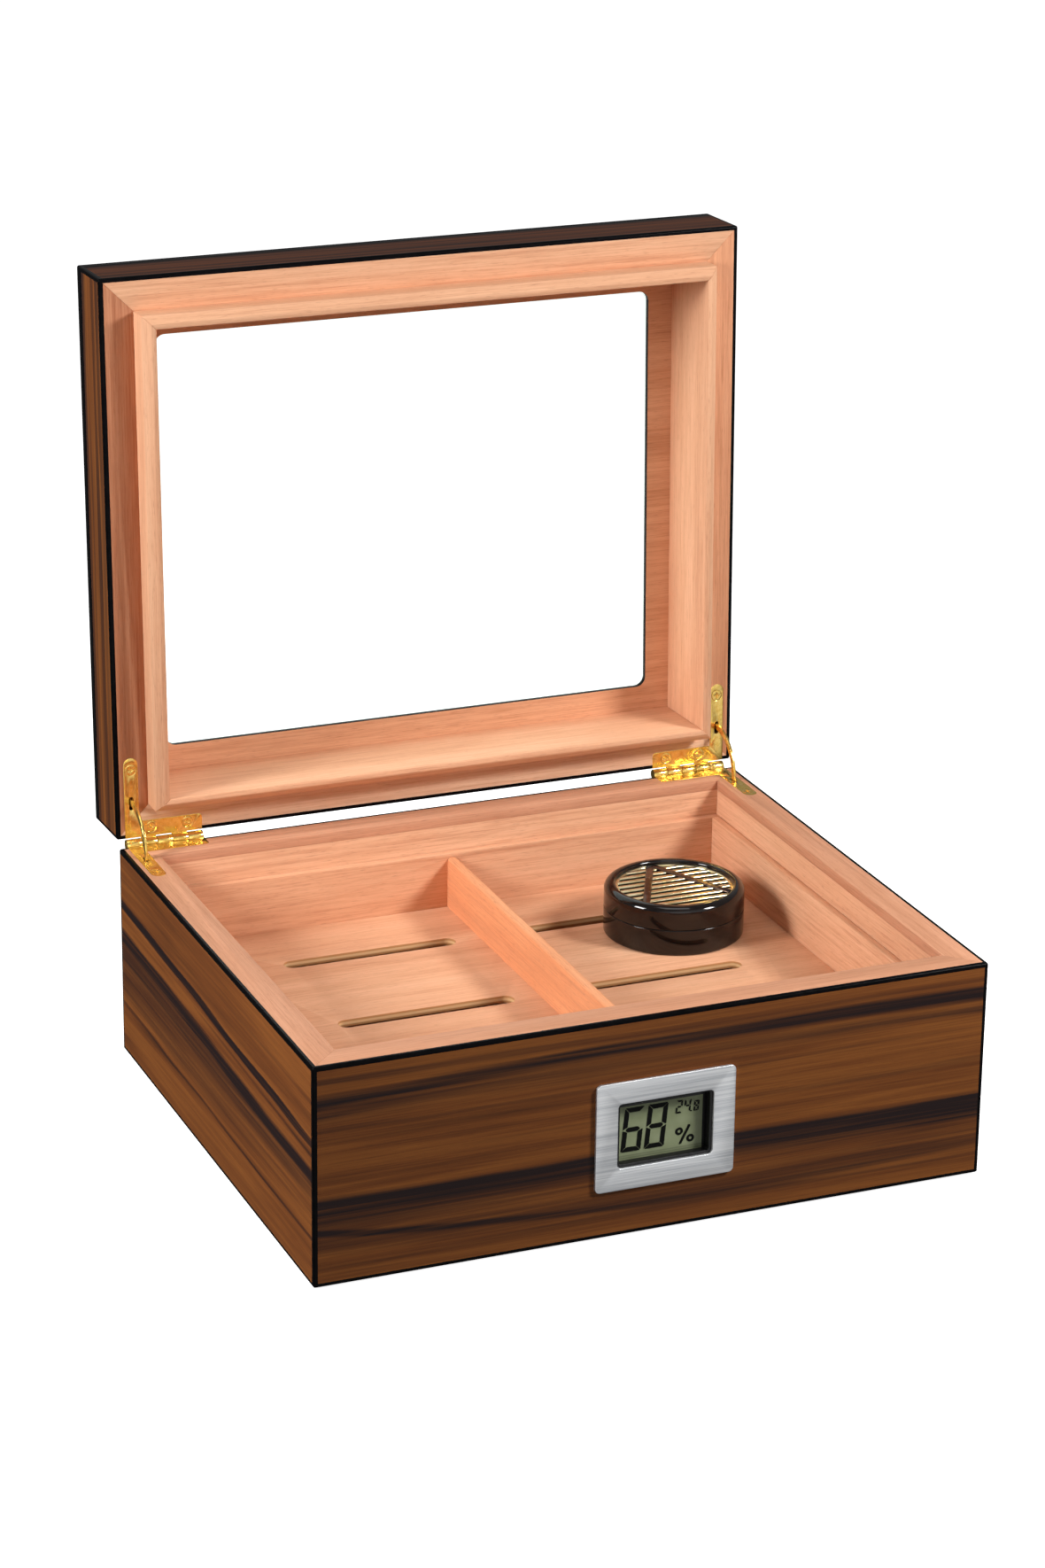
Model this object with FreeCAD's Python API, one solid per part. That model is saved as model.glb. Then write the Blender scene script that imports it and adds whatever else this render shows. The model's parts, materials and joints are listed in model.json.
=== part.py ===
"""Glass-top desktop humidor with a digital hygrometer in its front wall.

Millimetres, +X right, +Y to the back, +Z up. The origin is the centre of the base's underside.
The lid stands open on its stops, which is the rest pose.
"""
import os
import math

import FreeCAD, Part

V = FreeCAD.Vector

# ---- driving dimensions -------------------------------------------------------------------
WIDTH = 260.0                 # outer width of the box
DEPTH = 219.0                 # outer depth of the box
BASE_H = 84.5                 # underside to rim
LID_H = 28.0                  # lid, mating face to top
LID_OPEN = 92.0               # opening angle on the stops, degrees
WALL_T = 8.0                  # base wall board
LINING_T = 4.5                # cedar lining of the base
RIM_H = 4.0                   # base rim strips
EDGING = 1.6                  # section of the black edging
EDGE_R = 0.8                  # rounding of the outer edges
FELT_T = 0.8
FELT_INSET = 4.0
BOTTOM_T = 6.0
BOTTOM_LINING_T = 2.5
REST_T = 4.0                  # thickness of the tray rests

TRAY_BELOW_RIM = 14.2         # tray top under the rim
TRAY_H = 25.8
TRAY_SIDE_T = 3.2
TRAY_FLOOR_T = 3.0
TRAY_FLOOR_UP = 0.5           # floor above the lower edge of the sides
SLOT_L = 70.0
SLOT_W = 7.0
SLOT_ROWS = (-60.0, 0.0, 60.0)
SLOT_INNER = 12.0             # divider plane to the near slot end
DIVIDER_T = 4.0
DIVIDER_H = 20.5
DIVIDER_X = 1.5               # divider plane, right of the middle
GROOVE_DEEP = 1.5

LIP_H = 12.0                  # liner below the mating face
LIP_CHAMFER = 3.0
LINER_T = 5.0
LID_RIM_H = 3.0
PANEL_T = 5.5                 # lid top panel
WINDOW_W = 204.0
WINDOW_D = 163.0
WINDOW_R = 4.0
GLASS_T = 3.0
GLASS_LEDGE = 4.0             # rebate width round the window

PIVOT_BACK = 2.4              # hinge line behind the back face
KNUCKLE_R = 2.1
PIN_R = 1.0
LEAF_T = 0.95
LEAF_IN = 34.5                # side face to the inner end of the back leg
LEAF_OUT = 3.4                # side face to the outer side of the side leg
BACK_LEG_W = 6.7              # leaf width along the back, to the wall's back face
SIDE_LEG_W = 5.8
SIDE_LEG_L = 32.5             # back face to the side leg's front end
KNUCKLES = 5
SCREW_R = 1.1
SCREW_HEAD_R = 2.2
SCREW_HEAD_H = 1.3
SCREW_L = 8.0
BACK_SCREWS_IN = (28.5, 14.0)  # side face to the back leg's screws
BACK_SCREW_IN = 3.9           # back face to the back leg's screws
SIDE_SCREW_IN = 27.7          # back face to the side leg's screw
STAY_R = 17.0                 # stay's centre line radius
STAY_T = 1.0
STAY_W = 2.4
STAY_FLANGE_T = 2.0
STAY_IN = 6.2                 # side face to the stay
MORTISE_W = 2.8
MORTISE_DEEP = 16.5

PUCK_R = 27.4
PUCK_H = 20.0
PUCK_X = 73.2
PUCK_Y = 40.2
PUCK_SPLIT = 10.5             # height of the joint between shell and cap
PUCK_WALL = 1.6
CROWN_R = 23.0                # opening in the cap
GRILLE_R = 24.2               # grille, seated under the crown
GRILLE_RING = 2.4             # width of the grille's outer ring
GRILLE_DROP = 1.6             # grille below the top of the crown
SLAT_PITCH = 4.24
SLAT_W = 2.0
SLAT_T = 1.2
BAR_W = 3.0

PLATE_W = 54.0
PLATE_H = 42.0
PLATE_T = 1.2
PLATE_R = 2.0
PLATE_X = 2.4
PLATE_Z = 40.0
VIEW_W = 37.0
VIEW_H = 25.0
VIEW_R = 1.6
BODY_W = 46.0
BODY_H = 34.0
BODY_WALL = 1.4
BODY_DEEP = 12.2              # from the wall's face to the back of the cover
RECESS = 4.5                  # front of the plate to the display
FRAME_W = 1.0                 # black frame seen inside the plate's window
LCD_W = 38.0
LCD_H = 26.0
LCD_T = 2.2
BOARD_T = 0.8
COVER_T = 1.3
CELL_R = 3.95
CELL_T = 3.3
CELL_X = -11.0
CELL_Z = -8.0
DOOR_W = 12.0
DOOR_H = 11.0

# ---- clearances ---------------------------------------------------------------------------
MATING_GAP = 0.05             # closed lid over the rim
LEAF_SINK = 0.05              # leaf under the mating face
LIP_GAP = 0.5                 # liner inside the base
TRAY_GAP = 0.3
GLASS_GAP = 0.2
PIN_GAP = 0.05
KNUCKLE_GAP = 0.2
SLOT_GAP = 0.35
BODY_GAP = 0.3
DOOR_GAP = 0.2
PUCK_GAP = 0.3
HOLE_GAP = 0.05

# ---- derived ------------------------------------------------------------------------------
HX = WIDTH / 2
HY = DEPTH / 2
CORE_X = HX - WALL_T
CORE_Y = HY - WALL_T
IN_X = CORE_X - LINING_T
IN_Y = CORE_Y - LINING_T
EDGE_X = HX - EDGING
EDGE_Y = HY - EDGING
RIM_Z = BASE_H - RIM_H
BOTTOM_TOP = FELT_T + BOTTOM_T
LINING_FOOT = BOTTOM_TOP + BOTTOM_LINING_T
TRAY_TOP = BASE_H - TRAY_BELOW_RIM
TRAY_Z = TRAY_TOP - TRAY_H
FLOOR_Z = TRAY_Z + TRAY_FLOOR_UP
FLOOR_TOP = FLOOR_Z + TRAY_FLOOR_T
TRAY_X = IN_X - TRAY_GAP
TRAY_Y = IN_Y - TRAY_GAP
TRAY_IN_X = TRAY_X - TRAY_SIDE_T
TRAY_IN_Y = TRAY_Y - TRAY_SIDE_T
LID_Z = BASE_H + MATING_GAP
LID_TOP = LID_Z + LID_H
PANEL_Z = LID_TOP - PANEL_T
LINER_X = IN_X - LIP_GAP
LINER_Y = IN_Y - LIP_GAP
LINER_IN_X = LINER_X - LINER_T
LINER_IN_Y = LINER_Y - LINER_T
PIVOT_Y = HY + PIVOT_BACK
PIVOT = V(0, PIVOT_Y, BASE_H)
BACK_LEG_Y = HY - BACK_LEG_W
LEAF_IN_X = HX - LEAF_IN
LEAF_OUT_X = HX - LEAF_OUT
SIDE_LEG_END = HY - SIDE_LEG_L
BACK_SCREWS_X = tuple(HX - away for away in BACK_SCREWS_IN)
BACK_SCREW_Y = HY - BACK_SCREW_IN
SIDE_SCREW_Y = HY - SIDE_SCREW_IN
STAY_X = HX - STAY_IN
PLATE_Y = -HY
LCD_Y = PLATE_Y - PLATE_T + RECESS
COVER_Y = PLATE_Y + BODY_DEEP - COVER_T


# ---- helpers ------------------------------------------------------------------------------
def box(x0, x1, y0, y1, z0, z1):
    """Box between two corners."""
    return Part.makeBox(x1 - x0, y1 - y0, z1 - z0, V(x0, y0, z0))


def rod(radius, length, at, along):
    """Cylinder from a point along a direction."""
    return Part.makeCylinder(radius, length, at, along)


def block(w, d, z0, z1):
    """Box centred on the Z axis."""
    return box(-w / 2, w / 2, -d / 2, d / 2, z0, z1)


def rounded(w, d, r, z0, z1):
    """Plate centred on the Z axis, with its four upright edges rounded."""
    shape = block(w, d, z0, z1)
    upright = [e for e in shape.Edges if abs(e.tangentAt(e.FirstParameter).z) > 0.99]
    return shape.makeFillet(r, upright)


def prism(points, axis, length):
    """Polygon swept along a direction."""
    ring = [V(*p) for p in points]
    face = Part.Face(Part.makePolygon(ring + [ring[0]]))
    return face.extrude(axis * length)


def mirrored(shape):
    """Copy on the other side of the middle plane."""
    return shape.mirror(V(0, 0, 0), V(1, 0, 0))


def opened(shape):
    """Closed-lid shape turned about the hinge line to the open pose."""
    turned = shape.copy()
    turned.rotate(PIVOT, V(1, 0, 0), -LID_OPEN)
    return turned


def save(name, *shapes):
    """Write one node."""
    solids = []
    for shape in shapes:
        solids.extend(shape.Solids)
    out = solids[0] if len(solids) == 1 else Part.makeCompound(solids)
    out.exportStep("parts/%s.step" % name)


def save_lid(name, *shapes):
    """Write one node of the lid, turned open."""
    save(name, *[opened(s) for s in shapes])


# ---- edging and walls ---------------------------------------------------------------------
def edge_frame(z0, z1, radius):
    """Twelve strips along the edges of the box from z0 to z1."""
    outer = block(WIDTH, DEPTH, z0, z1)
    if radius > 0:
        outer = outer.makeFillet(radius, outer.Edges)
    outer = outer.cut(box(-HX, HX, -EDGE_Y, EDGE_Y, z0 + EDGING, z1 - EDGING))
    outer = outer.cut(box(-EDGE_X, EDGE_X, -HY, HY, z0 + EDGING, z1 - EDGING))
    return outer.cut(box(-EDGE_X, EDGE_X, -EDGE_Y, EDGE_Y, z0, z1))


def walls(z0, z1, in_x, in_y, rim_z0, rim_z1):
    """Front, back, left and right boards, clear of the edging and of the rim strips.

    The side boards lap the ends of the front and back boards.
    """
    frame = edge_frame(z0, z1, 0)
    rim = block(2 * EDGE_X, 2 * EDGE_Y, rim_z0, rim_z1)
    front = box(-EDGE_X, EDGE_X, -HY, -in_y, z0, z1)
    left = box(-HX, -in_x, -in_y, in_y, z0, z1)
    left = left.fuse(box(-HX, -EDGE_X, -EDGE_Y, EDGE_Y, z0, z1)).removeSplitter()
    boards = [front, front.mirror(V(0, 0, 0), V(0, 1, 0)), left, mirrored(left)]
    return [b.cut(rim).cut(frame) for b in boards]


def ring_strip(side, out_x, out_y, in_x, in_y, z0, z1):
    """One side of a rectangular frame with mitred ends."""
    corners = {
        "front": ((-out_x, -out_y), (out_x, -out_y), (in_x, -in_y), (-in_x, -in_y)),
        "back": ((-out_x, out_y), (-in_x, in_y), (in_x, in_y), (out_x, out_y)),
        "left": ((-out_x, -out_y), (-in_x, -in_y), (-in_x, in_y), (-out_x, out_y)),
        "right": ((out_x, -out_y), (out_x, out_y), (in_x, in_y), (in_x, -in_y)),
    }[side]
    return prism([(x, y, z0) for x, y in corners], V(0, 0, 1), z1 - z0)


SIDES = ("front", "back", "left", "right")


# ---- hinges -------------------------------------------------------------------------------
def leaf_outline(z0, z1):
    """L-shaped plate of the right hinge, without its barrel."""
    back = box(LEAF_IN_X, LEAF_OUT_X, BACK_LEG_Y, HY - 0.1, z0, z1)
    tip_y = SIDE_LEG_END + SIDE_LEG_W / 2
    side_x = LEAF_OUT_X - SIDE_LEG_W
    side = box(side_x, LEAF_OUT_X, tip_y, HY - 0.1, z0, z1)
    tip = rod(SIDE_LEG_W / 2, z1 - z0, V(LEAF_OUT_X - SIDE_LEG_W / 2, tip_y, z0), V(0, 0, 1))
    plate = back.fuse(side).fuse(tip).removeSplitter()
    corners = [e for e in plate.Edges if abs(e.tangentAt(e.FirstParameter).z) > 0.99
               and abs(e.Vertexes[0].X - LEAF_IN_X) < 0.01 and e.Vertexes[0].Y < BACK_LEG_Y + 0.1]
    return plate.makeFillet(1.5, corners)


def knuckle_spans():
    """X ranges of the knuckles, from the inner end outwards."""
    pitch = (LEAF_OUT_X - LEAF_IN_X) / KNUCKLES
    half = KNUCKLE_GAP / 2
    return [(LEAF_IN_X + i * pitch + half, LEAF_IN_X + (i + 1) * pitch - half) for i in range(KNUCKLES)]


def stay_slot(z0, z1):
    """Slot in the right leaf for the stay."""
    half = STAY_T / 2 + SLOT_GAP
    near = PIVOT_Y - STAY_R - STAY_W / 2 - 0.9
    far = PIVOT_Y - STAY_R + STAY_W / 2 + 1.9
    slot = box(STAY_X - half, STAY_X + half, near + half, far - half, z0, z1)
    for y in (near + half, far - half):
        slot = slot.fuse(rod(half, z1 - z0, V(STAY_X, y, z0), V(0, 0, 1)))
    return slot.removeSplitter()


def screw_places():
    """Screw positions of the right leaf."""
    side_x = LEAF_OUT_X - SIDE_LEG_W / 2
    return [(x, BACK_SCREW_Y) for x in BACK_SCREWS_X] + [(side_x, SIDE_SCREW_Y)]


def screw(x, y, z, down, gap=0.0):
    """Countersunk screw with its head flush at z, driven down (-1) or up (1)."""
    way = V(0, 0, down)
    head = Part.makeCone(SCREW_HEAD_R + gap, SCREW_R + gap, SCREW_HEAD_H, V(x, y, z), way)
    shank = rod(SCREW_R + gap, SCREW_L, V(x, y, z), way)
    return head.fuse(shank).removeSplitter()


def cross_slot(x, y, z, down):
    """Cross recess in a screw head."""
    z0, z1 = sorted((z, z + 0.6 * down))
    a = box(x - 1.2, x + 1.2, y - 0.2, y + 0.2, z0, z1)
    return a.fuse(box(x - 0.2, x + 0.2, y - 1.2, y + 1.2, z0, z1))


def leaf(lower):
    """Right hinge leaf: the base's for lower, else the lid's in its closed place."""
    down = -1 if lower else 1
    face = BASE_H - LEAF_SINK if lower else LID_Z + LEAF_SINK
    z0, z1 = sorted((face, face + LEAF_T * down))
    plate = leaf_outline(z0, z1)
    for i, (x0, x1) in enumerate(knuckle_spans()):
        if (i % 2 == 0) == lower:
            finger = box(x0, x1, HY - 0.1, PIVOT_Y, z0, z1)
            barrel = rod(KNUCKLE_R, x1 - x0, V(x0, PIVOT_Y, BASE_H), V(1, 0, 0))
            plate = plate.fuse(finger).fuse(barrel)
    bore = rod(PIN_R + PIN_GAP, 60, V(LEAF_IN_X - 5, PIVOT_Y, BASE_H), V(1, 0, 0))
    plate = plate.cut(bore).cut(stay_slot(z0 - 1, z1 + 1))
    for x, y in screw_places():
        plate = plate.cut(screw(x, y, face, down, HOLE_GAP))
    return plate.removeSplitter()


def leaf_screws(lower):
    """Six screws of the two leaves of the base or of the lid."""
    down = -1 if lower else 1
    face = BASE_H - LEAF_SINK if lower else LID_Z + LEAF_SINK
    right = [screw(x, y, face, down).cut(cross_slot(x, y, face, down)) for x, y in screw_places()]
    return right + [mirrored(s) for s in right]


def hinge_seat(lower):
    """Space in the wood for both leaves, their screws and the stays."""
    down = -1 if lower else 1
    plane = BASE_H if lower else LID_Z
    depth = LEAF_T + LEAF_SINK
    z0, z1 = sorted((plane - 0.5 * down, plane + depth * down))
    seat = leaf_outline(z0, z1)
    seat = seat.fuse(box(LEAF_IN_X, LEAF_OUT_X, HY - 0.2, HY + 1, z0, z1))
    m0, m1 = sorted((plane - 0.5 * down, plane + MORTISE_DEEP * down))
    low_y = PIVOT_Y - STAY_R - STAY_W / 2 - 0.9
    high_y = PIVOT_Y - STAY_R + STAY_W / 2 + 7.6
    seat = seat.fuse(box(STAY_X - MORTISE_W / 2, STAY_X + MORTISE_W / 2, low_y, high_y, m0, m1))
    face = plane + LEAF_SINK * down
    for x, y in screw_places():
        hole = rod(SCREW_R + HOLE_GAP, SCREW_L + HOLE_GAP, V(x, y, face), V(0, 0, down))
        cup = Part.makeCone(SCREW_HEAD_R + HOLE_GAP, SCREW_R + HOLE_GAP, SCREW_HEAD_H,
                            V(x, y, face), V(0, 0, down))
        seat = seat.fuse(hole).fuse(cup)
    return seat.fuse(mirrored(seat))


def arc_piece(start, end, r0, r1, thick):
    """Sector of a flat ring about the hinge line, at the right stay's plane.

    Angles are in degrees from +Y towards +Z.
    """
    x0 = STAY_X - thick / 2
    full = rod(r1, thick, V(x0, PIVOT_Y, BASE_H), V(1, 0, 0))
    full = full.cut(rod(r0, thick, V(x0, PIVOT_Y, BASE_H), V(1, 0, 0)))
    reach = 3 * r1
    steps = max(2, int(math.ceil((end - start) / 40.0)) + 1)
    fan = [(x0 - 1, PIVOT_Y, BASE_H)]
    for i in range(steps):
        a = math.radians(start + (end - start) * i / (steps - 1))
        fan.append((x0 - 1, PIVOT_Y + reach * math.cos(a), BASE_H + reach * math.sin(a)))
    return full.common(prism(fan, V(1, 0, 0), thick + 2))


def stay():
    """Right stay: an arc from the base's slot to the lid's, with a flange at each end."""
    low, high = 180.0, 180.0 - LID_OPEN
    r0 = STAY_R - STAY_W / 2
    r1 = STAY_R + STAY_W / 2
    shape = arc_piece(high - 10, low + 10, r0, r1, STAY_T)
    shape = shape.fuse(arc_piece(low + 5, low + 10, r0, r1, STAY_FLANGE_T))
    shape = shape.fuse(arc_piece(high - 10, high - 5, r0, r1, STAY_FLANGE_T))
    return shape.removeSplitter()


# ---- base ---------------------------------------------------------------------------------
def port(y0, y1):
    """Hygrometer port through the front wall."""
    w = BODY_W / 2 + BODY_GAP
    h = BODY_H / 2 + BODY_GAP
    return box(PLATE_X - w, PLATE_X + w, y0, y1, PLATE_Z - h, PLATE_Z + h)


def build_base():
    """Walls, bottom, edging, rim, lining and felt of the base."""
    seat = hinge_seat(True)
    boards = walls(FELT_T, BASE_H, CORE_X, CORE_Y, RIM_Z, BASE_H)
    boards[0] = boards[0].cut(port(-HY - 1, -CORE_Y + 1))
    for side, board in zip(SIDES, boards):
        save("base_%s_wall" % side, board if side == "front" else board.cut(seat))
    save("base_bottom_panel", block(2 * CORE_X, 2 * CORE_Y, FELT_T, BOTTOM_TOP))
    save("base_edging", edge_frame(FELT_T, BASE_H, EDGE_R).cut(seat))
    for side in SIDES:
        strip = ring_strip(side, EDGE_X, EDGE_Y, IN_X, IN_Y, RIM_Z, BASE_H)
        save("base_rim_%s" % side, strip if side == "front" else strip.cut(seat))
    front = box(-CORE_X, CORE_X, -CORE_Y, -IN_Y, LINING_FOOT, RIM_Z)
    left = box(-CORE_X, -IN_X, -IN_Y, IN_Y, LINING_FOOT, RIM_Z)
    save("base_lining_front", front.cut(port(-CORE_Y - 1, -IN_Y + 1)))
    save("base_lining_back", front.mirror(V(0, 0, 0), V(0, 1, 0)).cut(seat))
    save("base_lining_left", left)
    save("base_lining_right", mirrored(left))
    save("base_lining_bottom", block(2 * CORE_X, 2 * CORE_Y, BOTTOM_TOP, LINING_FOOT))
    rest = box(-IN_X, -IN_X + REST_T, -IN_Y, IN_Y, LINING_FOOT, TRAY_Z)
    save("base_tray_rests", rest, mirrored(rest))
    save("base_felt", block(WIDTH - 2 * FELT_INSET, DEPTH - 2 * FELT_INSET, 0, FELT_T))


def build_hinges():
    """Leaves, screws, pins and stays."""
    lower = leaf(True)
    save("hinge_base_leaf_right", lower)
    save("hinge_base_leaf_left", mirrored(lower))
    upper = leaf(False)
    save_lid("hinge_lid_leaf_right", upper)
    save_lid("hinge_lid_leaf_left", mirrored(upper))
    save("hinge_base_screws", *leaf_screws(True))
    save_lid("hinge_lid_screws", *leaf_screws(False))
    half = KNUCKLE_GAP / 2
    length = LEAF_OUT_X - LEAF_IN_X - 2 * half
    pin = rod(PIN_R, length, V(LEAF_IN_X + half, PIVOT_Y, BASE_H), V(1, 0, 0))
    save("hinge_pins", pin, mirrored(pin))
    save("stay_right", stay())
    save("stay_left", mirrored(stay()))


# ---- lid, in its closed place -------------------------------------------------------------
def liner(side):
    """One liner board with mitred ends; its outer lower edge is chamfered."""
    board = ring_strip(side, LINER_X, LINER_Y, LINER_IN_X, LINER_IN_Y, BASE_H - LIP_H, PANEL_Z)
    c = LIP_CHAMFER
    low = BASE_H - LIP_H
    x, y = LINER_X, LINER_Y
    if side in ("front", "back"):
        s = -1 if side == "front" else 1
        wedge = [(-x - 1, s * y, low), (-x - 1, s * y, low + c), (-x - 1, s * (y - c), low)]
        return board.cut(prism(wedge, V(1, 0, 0), 2 * x + 2))
    s = -1 if side == "left" else 1
    wedge = [(s * x, -y - 1, low), (s * x, -y - 1, low + c), (s * (x - c), -y - 1, low)]
    return board.cut(prism(wedge, V(0, 1, 0), 2 * y + 2))


def build_lid():
    """Walls, top panel, edging, rim strips, liner and glass."""
    seat = hinge_seat(False)
    top = LID_TOP
    boards = walls(LID_Z, top, LINER_X, LINER_Y, LID_Z, LID_Z + LID_RIM_H)
    above = block(WIDTH + 2, DEPTH + 2, PANEL_Z, top + 1)
    for side, board in zip(SIDES, boards):
        board = board.cut(above)
        save_lid("lid_%s_wall" % side, board if side == "front" else board.cut(seat))
    frame = edge_frame(LID_Z, top, 0)
    panel = block(WIDTH, DEPTH, PANEL_Z, top).cut(frame)
    panel = panel.cut(rounded(WINDOW_W, WINDOW_D, WINDOW_R, PANEL_Z - 1, top + 1))
    pane_w = WINDOW_W + 2 * GLASS_LEDGE
    pane_d = WINDOW_D + 2 * GLASS_LEDGE
    pane_r = WINDOW_R + GLASS_LEDGE
    g = 2 * GLASS_GAP
    rebate = rounded(pane_w + g, pane_d + g, pane_r + GLASS_GAP, top - GLASS_T, top + 1)
    save_lid("lid_top_panel", panel.cut(rebate))
    save_lid("lid_glass", rounded(pane_w, pane_d, pane_r, top - GLASS_T, top))
    save_lid("lid_edging", edge_frame(LID_Z, top, EDGE_R).cut(seat))
    for side in SIDES:
        strip = ring_strip(side, EDGE_X, EDGE_Y, LINER_X, LINER_Y, LID_Z, LID_Z + LID_RIM_H)
        save_lid("lid_rim_%s" % side, strip if side == "front" else strip.cut(seat))
        save_lid("lid_liner_%s" % side, liner(side))


# ---- tray ---------------------------------------------------------------------------------
def groove(sign):
    """Stopped groove for the divider in the front (-1) or back (1) tray board."""
    half = DIVIDER_T / 2
    top = FLOOR_TOP + DIVIDER_H
    y0, y1 = sorted((sign * TRAY_IN_Y, sign * (TRAY_IN_Y + GROOVE_DEEP)))
    cut = box(DIVIDER_X - half, DIVIDER_X + half, y0, y1, FLOOR_TOP, top - half)
    end = rod(half, y1 - y0, V(DIVIDER_X, y0, top - half), V(0, 1, 0))
    return cut.fuse(end).removeSplitter()


def tray_slot(x0, x1, y):
    """Round-ended slot through the tray floor."""
    r = SLOT_W / 2
    z0 = FLOOR_Z - 1
    cut = box(x0 + r, x1 - r, y - r, y + r, z0, FLOOR_TOP + 1)
    for x in (x0 + r, x1 - r):
        cut = cut.fuse(rod(r, TRAY_FLOOR_T + 2, V(x, y, z0), V(0, 0, 1)))
    return cut.removeSplitter()


def build_tray():
    """Four sides, slotted floor and divider."""
    front = box(-TRAY_X, TRAY_X, -TRAY_Y, -TRAY_IN_Y, TRAY_Z, TRAY_TOP)
    back = front.mirror(V(0, 0, 0), V(0, 1, 0))
    left = box(-TRAY_X, -TRAY_IN_X, -TRAY_IN_Y, TRAY_IN_Y, TRAY_Z, TRAY_TOP)
    save("tray_front", front.cut(groove(-1)))
    save("tray_back", back.cut(groove(1)))
    save("tray_left", left)
    save("tray_right", mirrored(left))
    floor = block(2 * TRAY_IN_X, 2 * TRAY_IN_Y, FLOOR_Z, FLOOR_TOP)
    for y in SLOT_ROWS:
        near = DIVIDER_X + SLOT_INNER
        floor = floor.cut(tray_slot(near, near + SLOT_L, y))
        near = DIVIDER_X - SLOT_INNER
        floor = floor.cut(tray_slot(near - SLOT_L, near, y))
    save("tray_floor", floor)
    half = DIVIDER_T / 2
    top = FLOOR_TOP + DIVIDER_H
    board = box(DIVIDER_X - half, DIVIDER_X + half, -TRAY_IN_Y, TRAY_IN_Y, FLOOR_TOP, top)
    crown = [e for e in board.Edges if abs(e.Vertexes[0].Z - top) < 0.01
             and abs(e.Vertexes[-1].Z - top) < 0.01 and abs(e.tangentAt(e.FirstParameter).y) > 0.99]
    board = board.makeFillet(half * 0.6, crown)
    save("tray_divider", board.fuse(groove(-1)).fuse(groove(1)).removeSplitter())


# ---- humidifier ---------------------------------------------------------------------------
def at_puck(shape):
    """Move a shape from the Z axis to the humidifier's place on the tray floor."""
    shape.translate(V(PUCK_X, PUCK_Y, FLOOR_TOP))
    return shape


def grille():
    """Slats across the grille, and two bars in a V from the back of the ring."""
    z1 = PUCK_H - GRILLE_DROP
    z0 = z1 - SLAT_T
    disc = rod(GRILLE_R, SLAT_T, V(0, 0, z0), V(0, 0, 1))
    ring = disc.cut(rod(GRILLE_R - GRILLE_RING, SLAT_T, V(0, 0, z0), V(0, 0, 1)))
    slats = []
    count = int(GRILLE_R / SLAT_PITCH)    # each side of the middle
    for i in range(-count, count):
        y = (i + 0.5) * SLAT_PITCH
        slats.append(box(-GRILLE_R, GRILLE_R, y - SLAT_W / 2, y + SLAT_W / 2, z0, z1))
    bars = []
    for sign in (-1, 1):
        bar = box(-BAR_W / 2, BAR_W / 2, -60, 0, z0, z1 + 0.4)
        bar.rotate(V(0, 0, 0), V(0, 0, 1), sign * 26.0)
        bar.translate(V(0, CROWN_R, 0))
        bars.append(bar)
    tall = rod(CROWN_R - 0.2, SLAT_T + 0.4, V(0, 0, z0), V(0, 0, 1))
    out = slats[0].multiFuse(slats[1:]).common(disc)
    return out.multiFuse([ring] + [b.common(tall) for b in bars]).removeSplitter()


def build_humidifier():
    """Round shell, its foam, the cap and the grille."""
    up = V(0, 0, 1)
    shell = rod(PUCK_R, PUCK_SPLIT, V(0, 0, 0), up)
    low = [e for e in shell.Edges if abs(e.BoundBox.ZMax) < 0.01]
    shell = shell.makeFillet(1.2, low)
    neck_r = PUCK_R - PUCK_WALL - PUCK_GAP
    shell = shell.fuse(rod(neck_r, 3.0, V(0, 0, PUCK_SPLIT), up))
    shell = shell.cut(rod(neck_r - PUCK_WALL, PUCK_H, V(0, 0, PUCK_WALL), up))
    save("humidifier_shell", at_puck(shell.removeSplitter()))
    foam_top = PUCK_H - GRILLE_DROP - SLAT_T - 0.6
    foam = rod(neck_r - PUCK_WALL - 0.2, foam_top - PUCK_WALL, V(0, 0, PUCK_WALL), up)
    save("humidifier_foam", at_puck(foam))
    cap_z = PUCK_SPLIT + 0.15
    cap = rod(PUCK_R, PUCK_H - cap_z, V(0, 0, cap_z), up)
    rim = [e for e in cap.Edges if abs(e.BoundBox.ZMin - PUCK_H) < 0.01]
    cap = cap.makeFillet(1.8, rim)
    seat_z = PUCK_H - GRILLE_DROP
    cap = cap.cut(rod(CROWN_R, PUCK_H, V(0, 0, cap_z), up))
    cap = cap.cut(rod(GRILLE_R + HOLE_GAP, seat_z - cap_z, V(0, 0, cap_z), up))
    cap = cap.cut(rod(PUCK_R - PUCK_WALL, seat_z - SLAT_T - 0.6 - cap_z, V(0, 0, cap_z), up))
    save("humidifier_cap", at_puck(cap))
    save("humidifier_grille", at_puck(grille()))


# ---- hygrometer ---------------------------------------------------------------------------
def slab(w, h, y0, y1, dx=0.0, dz=0.0):
    """Upright plate centred on the hygrometer's axis."""
    x, z = PLATE_X + dx, PLATE_Z + dz
    return box(x - w / 2, x + w / 2, y0, y1, z - h / 2, z + h / 2)


def soft_slab(w, h, r, y0, y1):
    """Upright plate with rounded corners, centred on the hygrometer's axis."""
    shape = slab(w, h, y0, y1)
    along = [e for e in shape.Edges if abs(e.tangentAt(e.FirstParameter).y) > 0.99]
    return shape.makeFillet(r, along)


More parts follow.
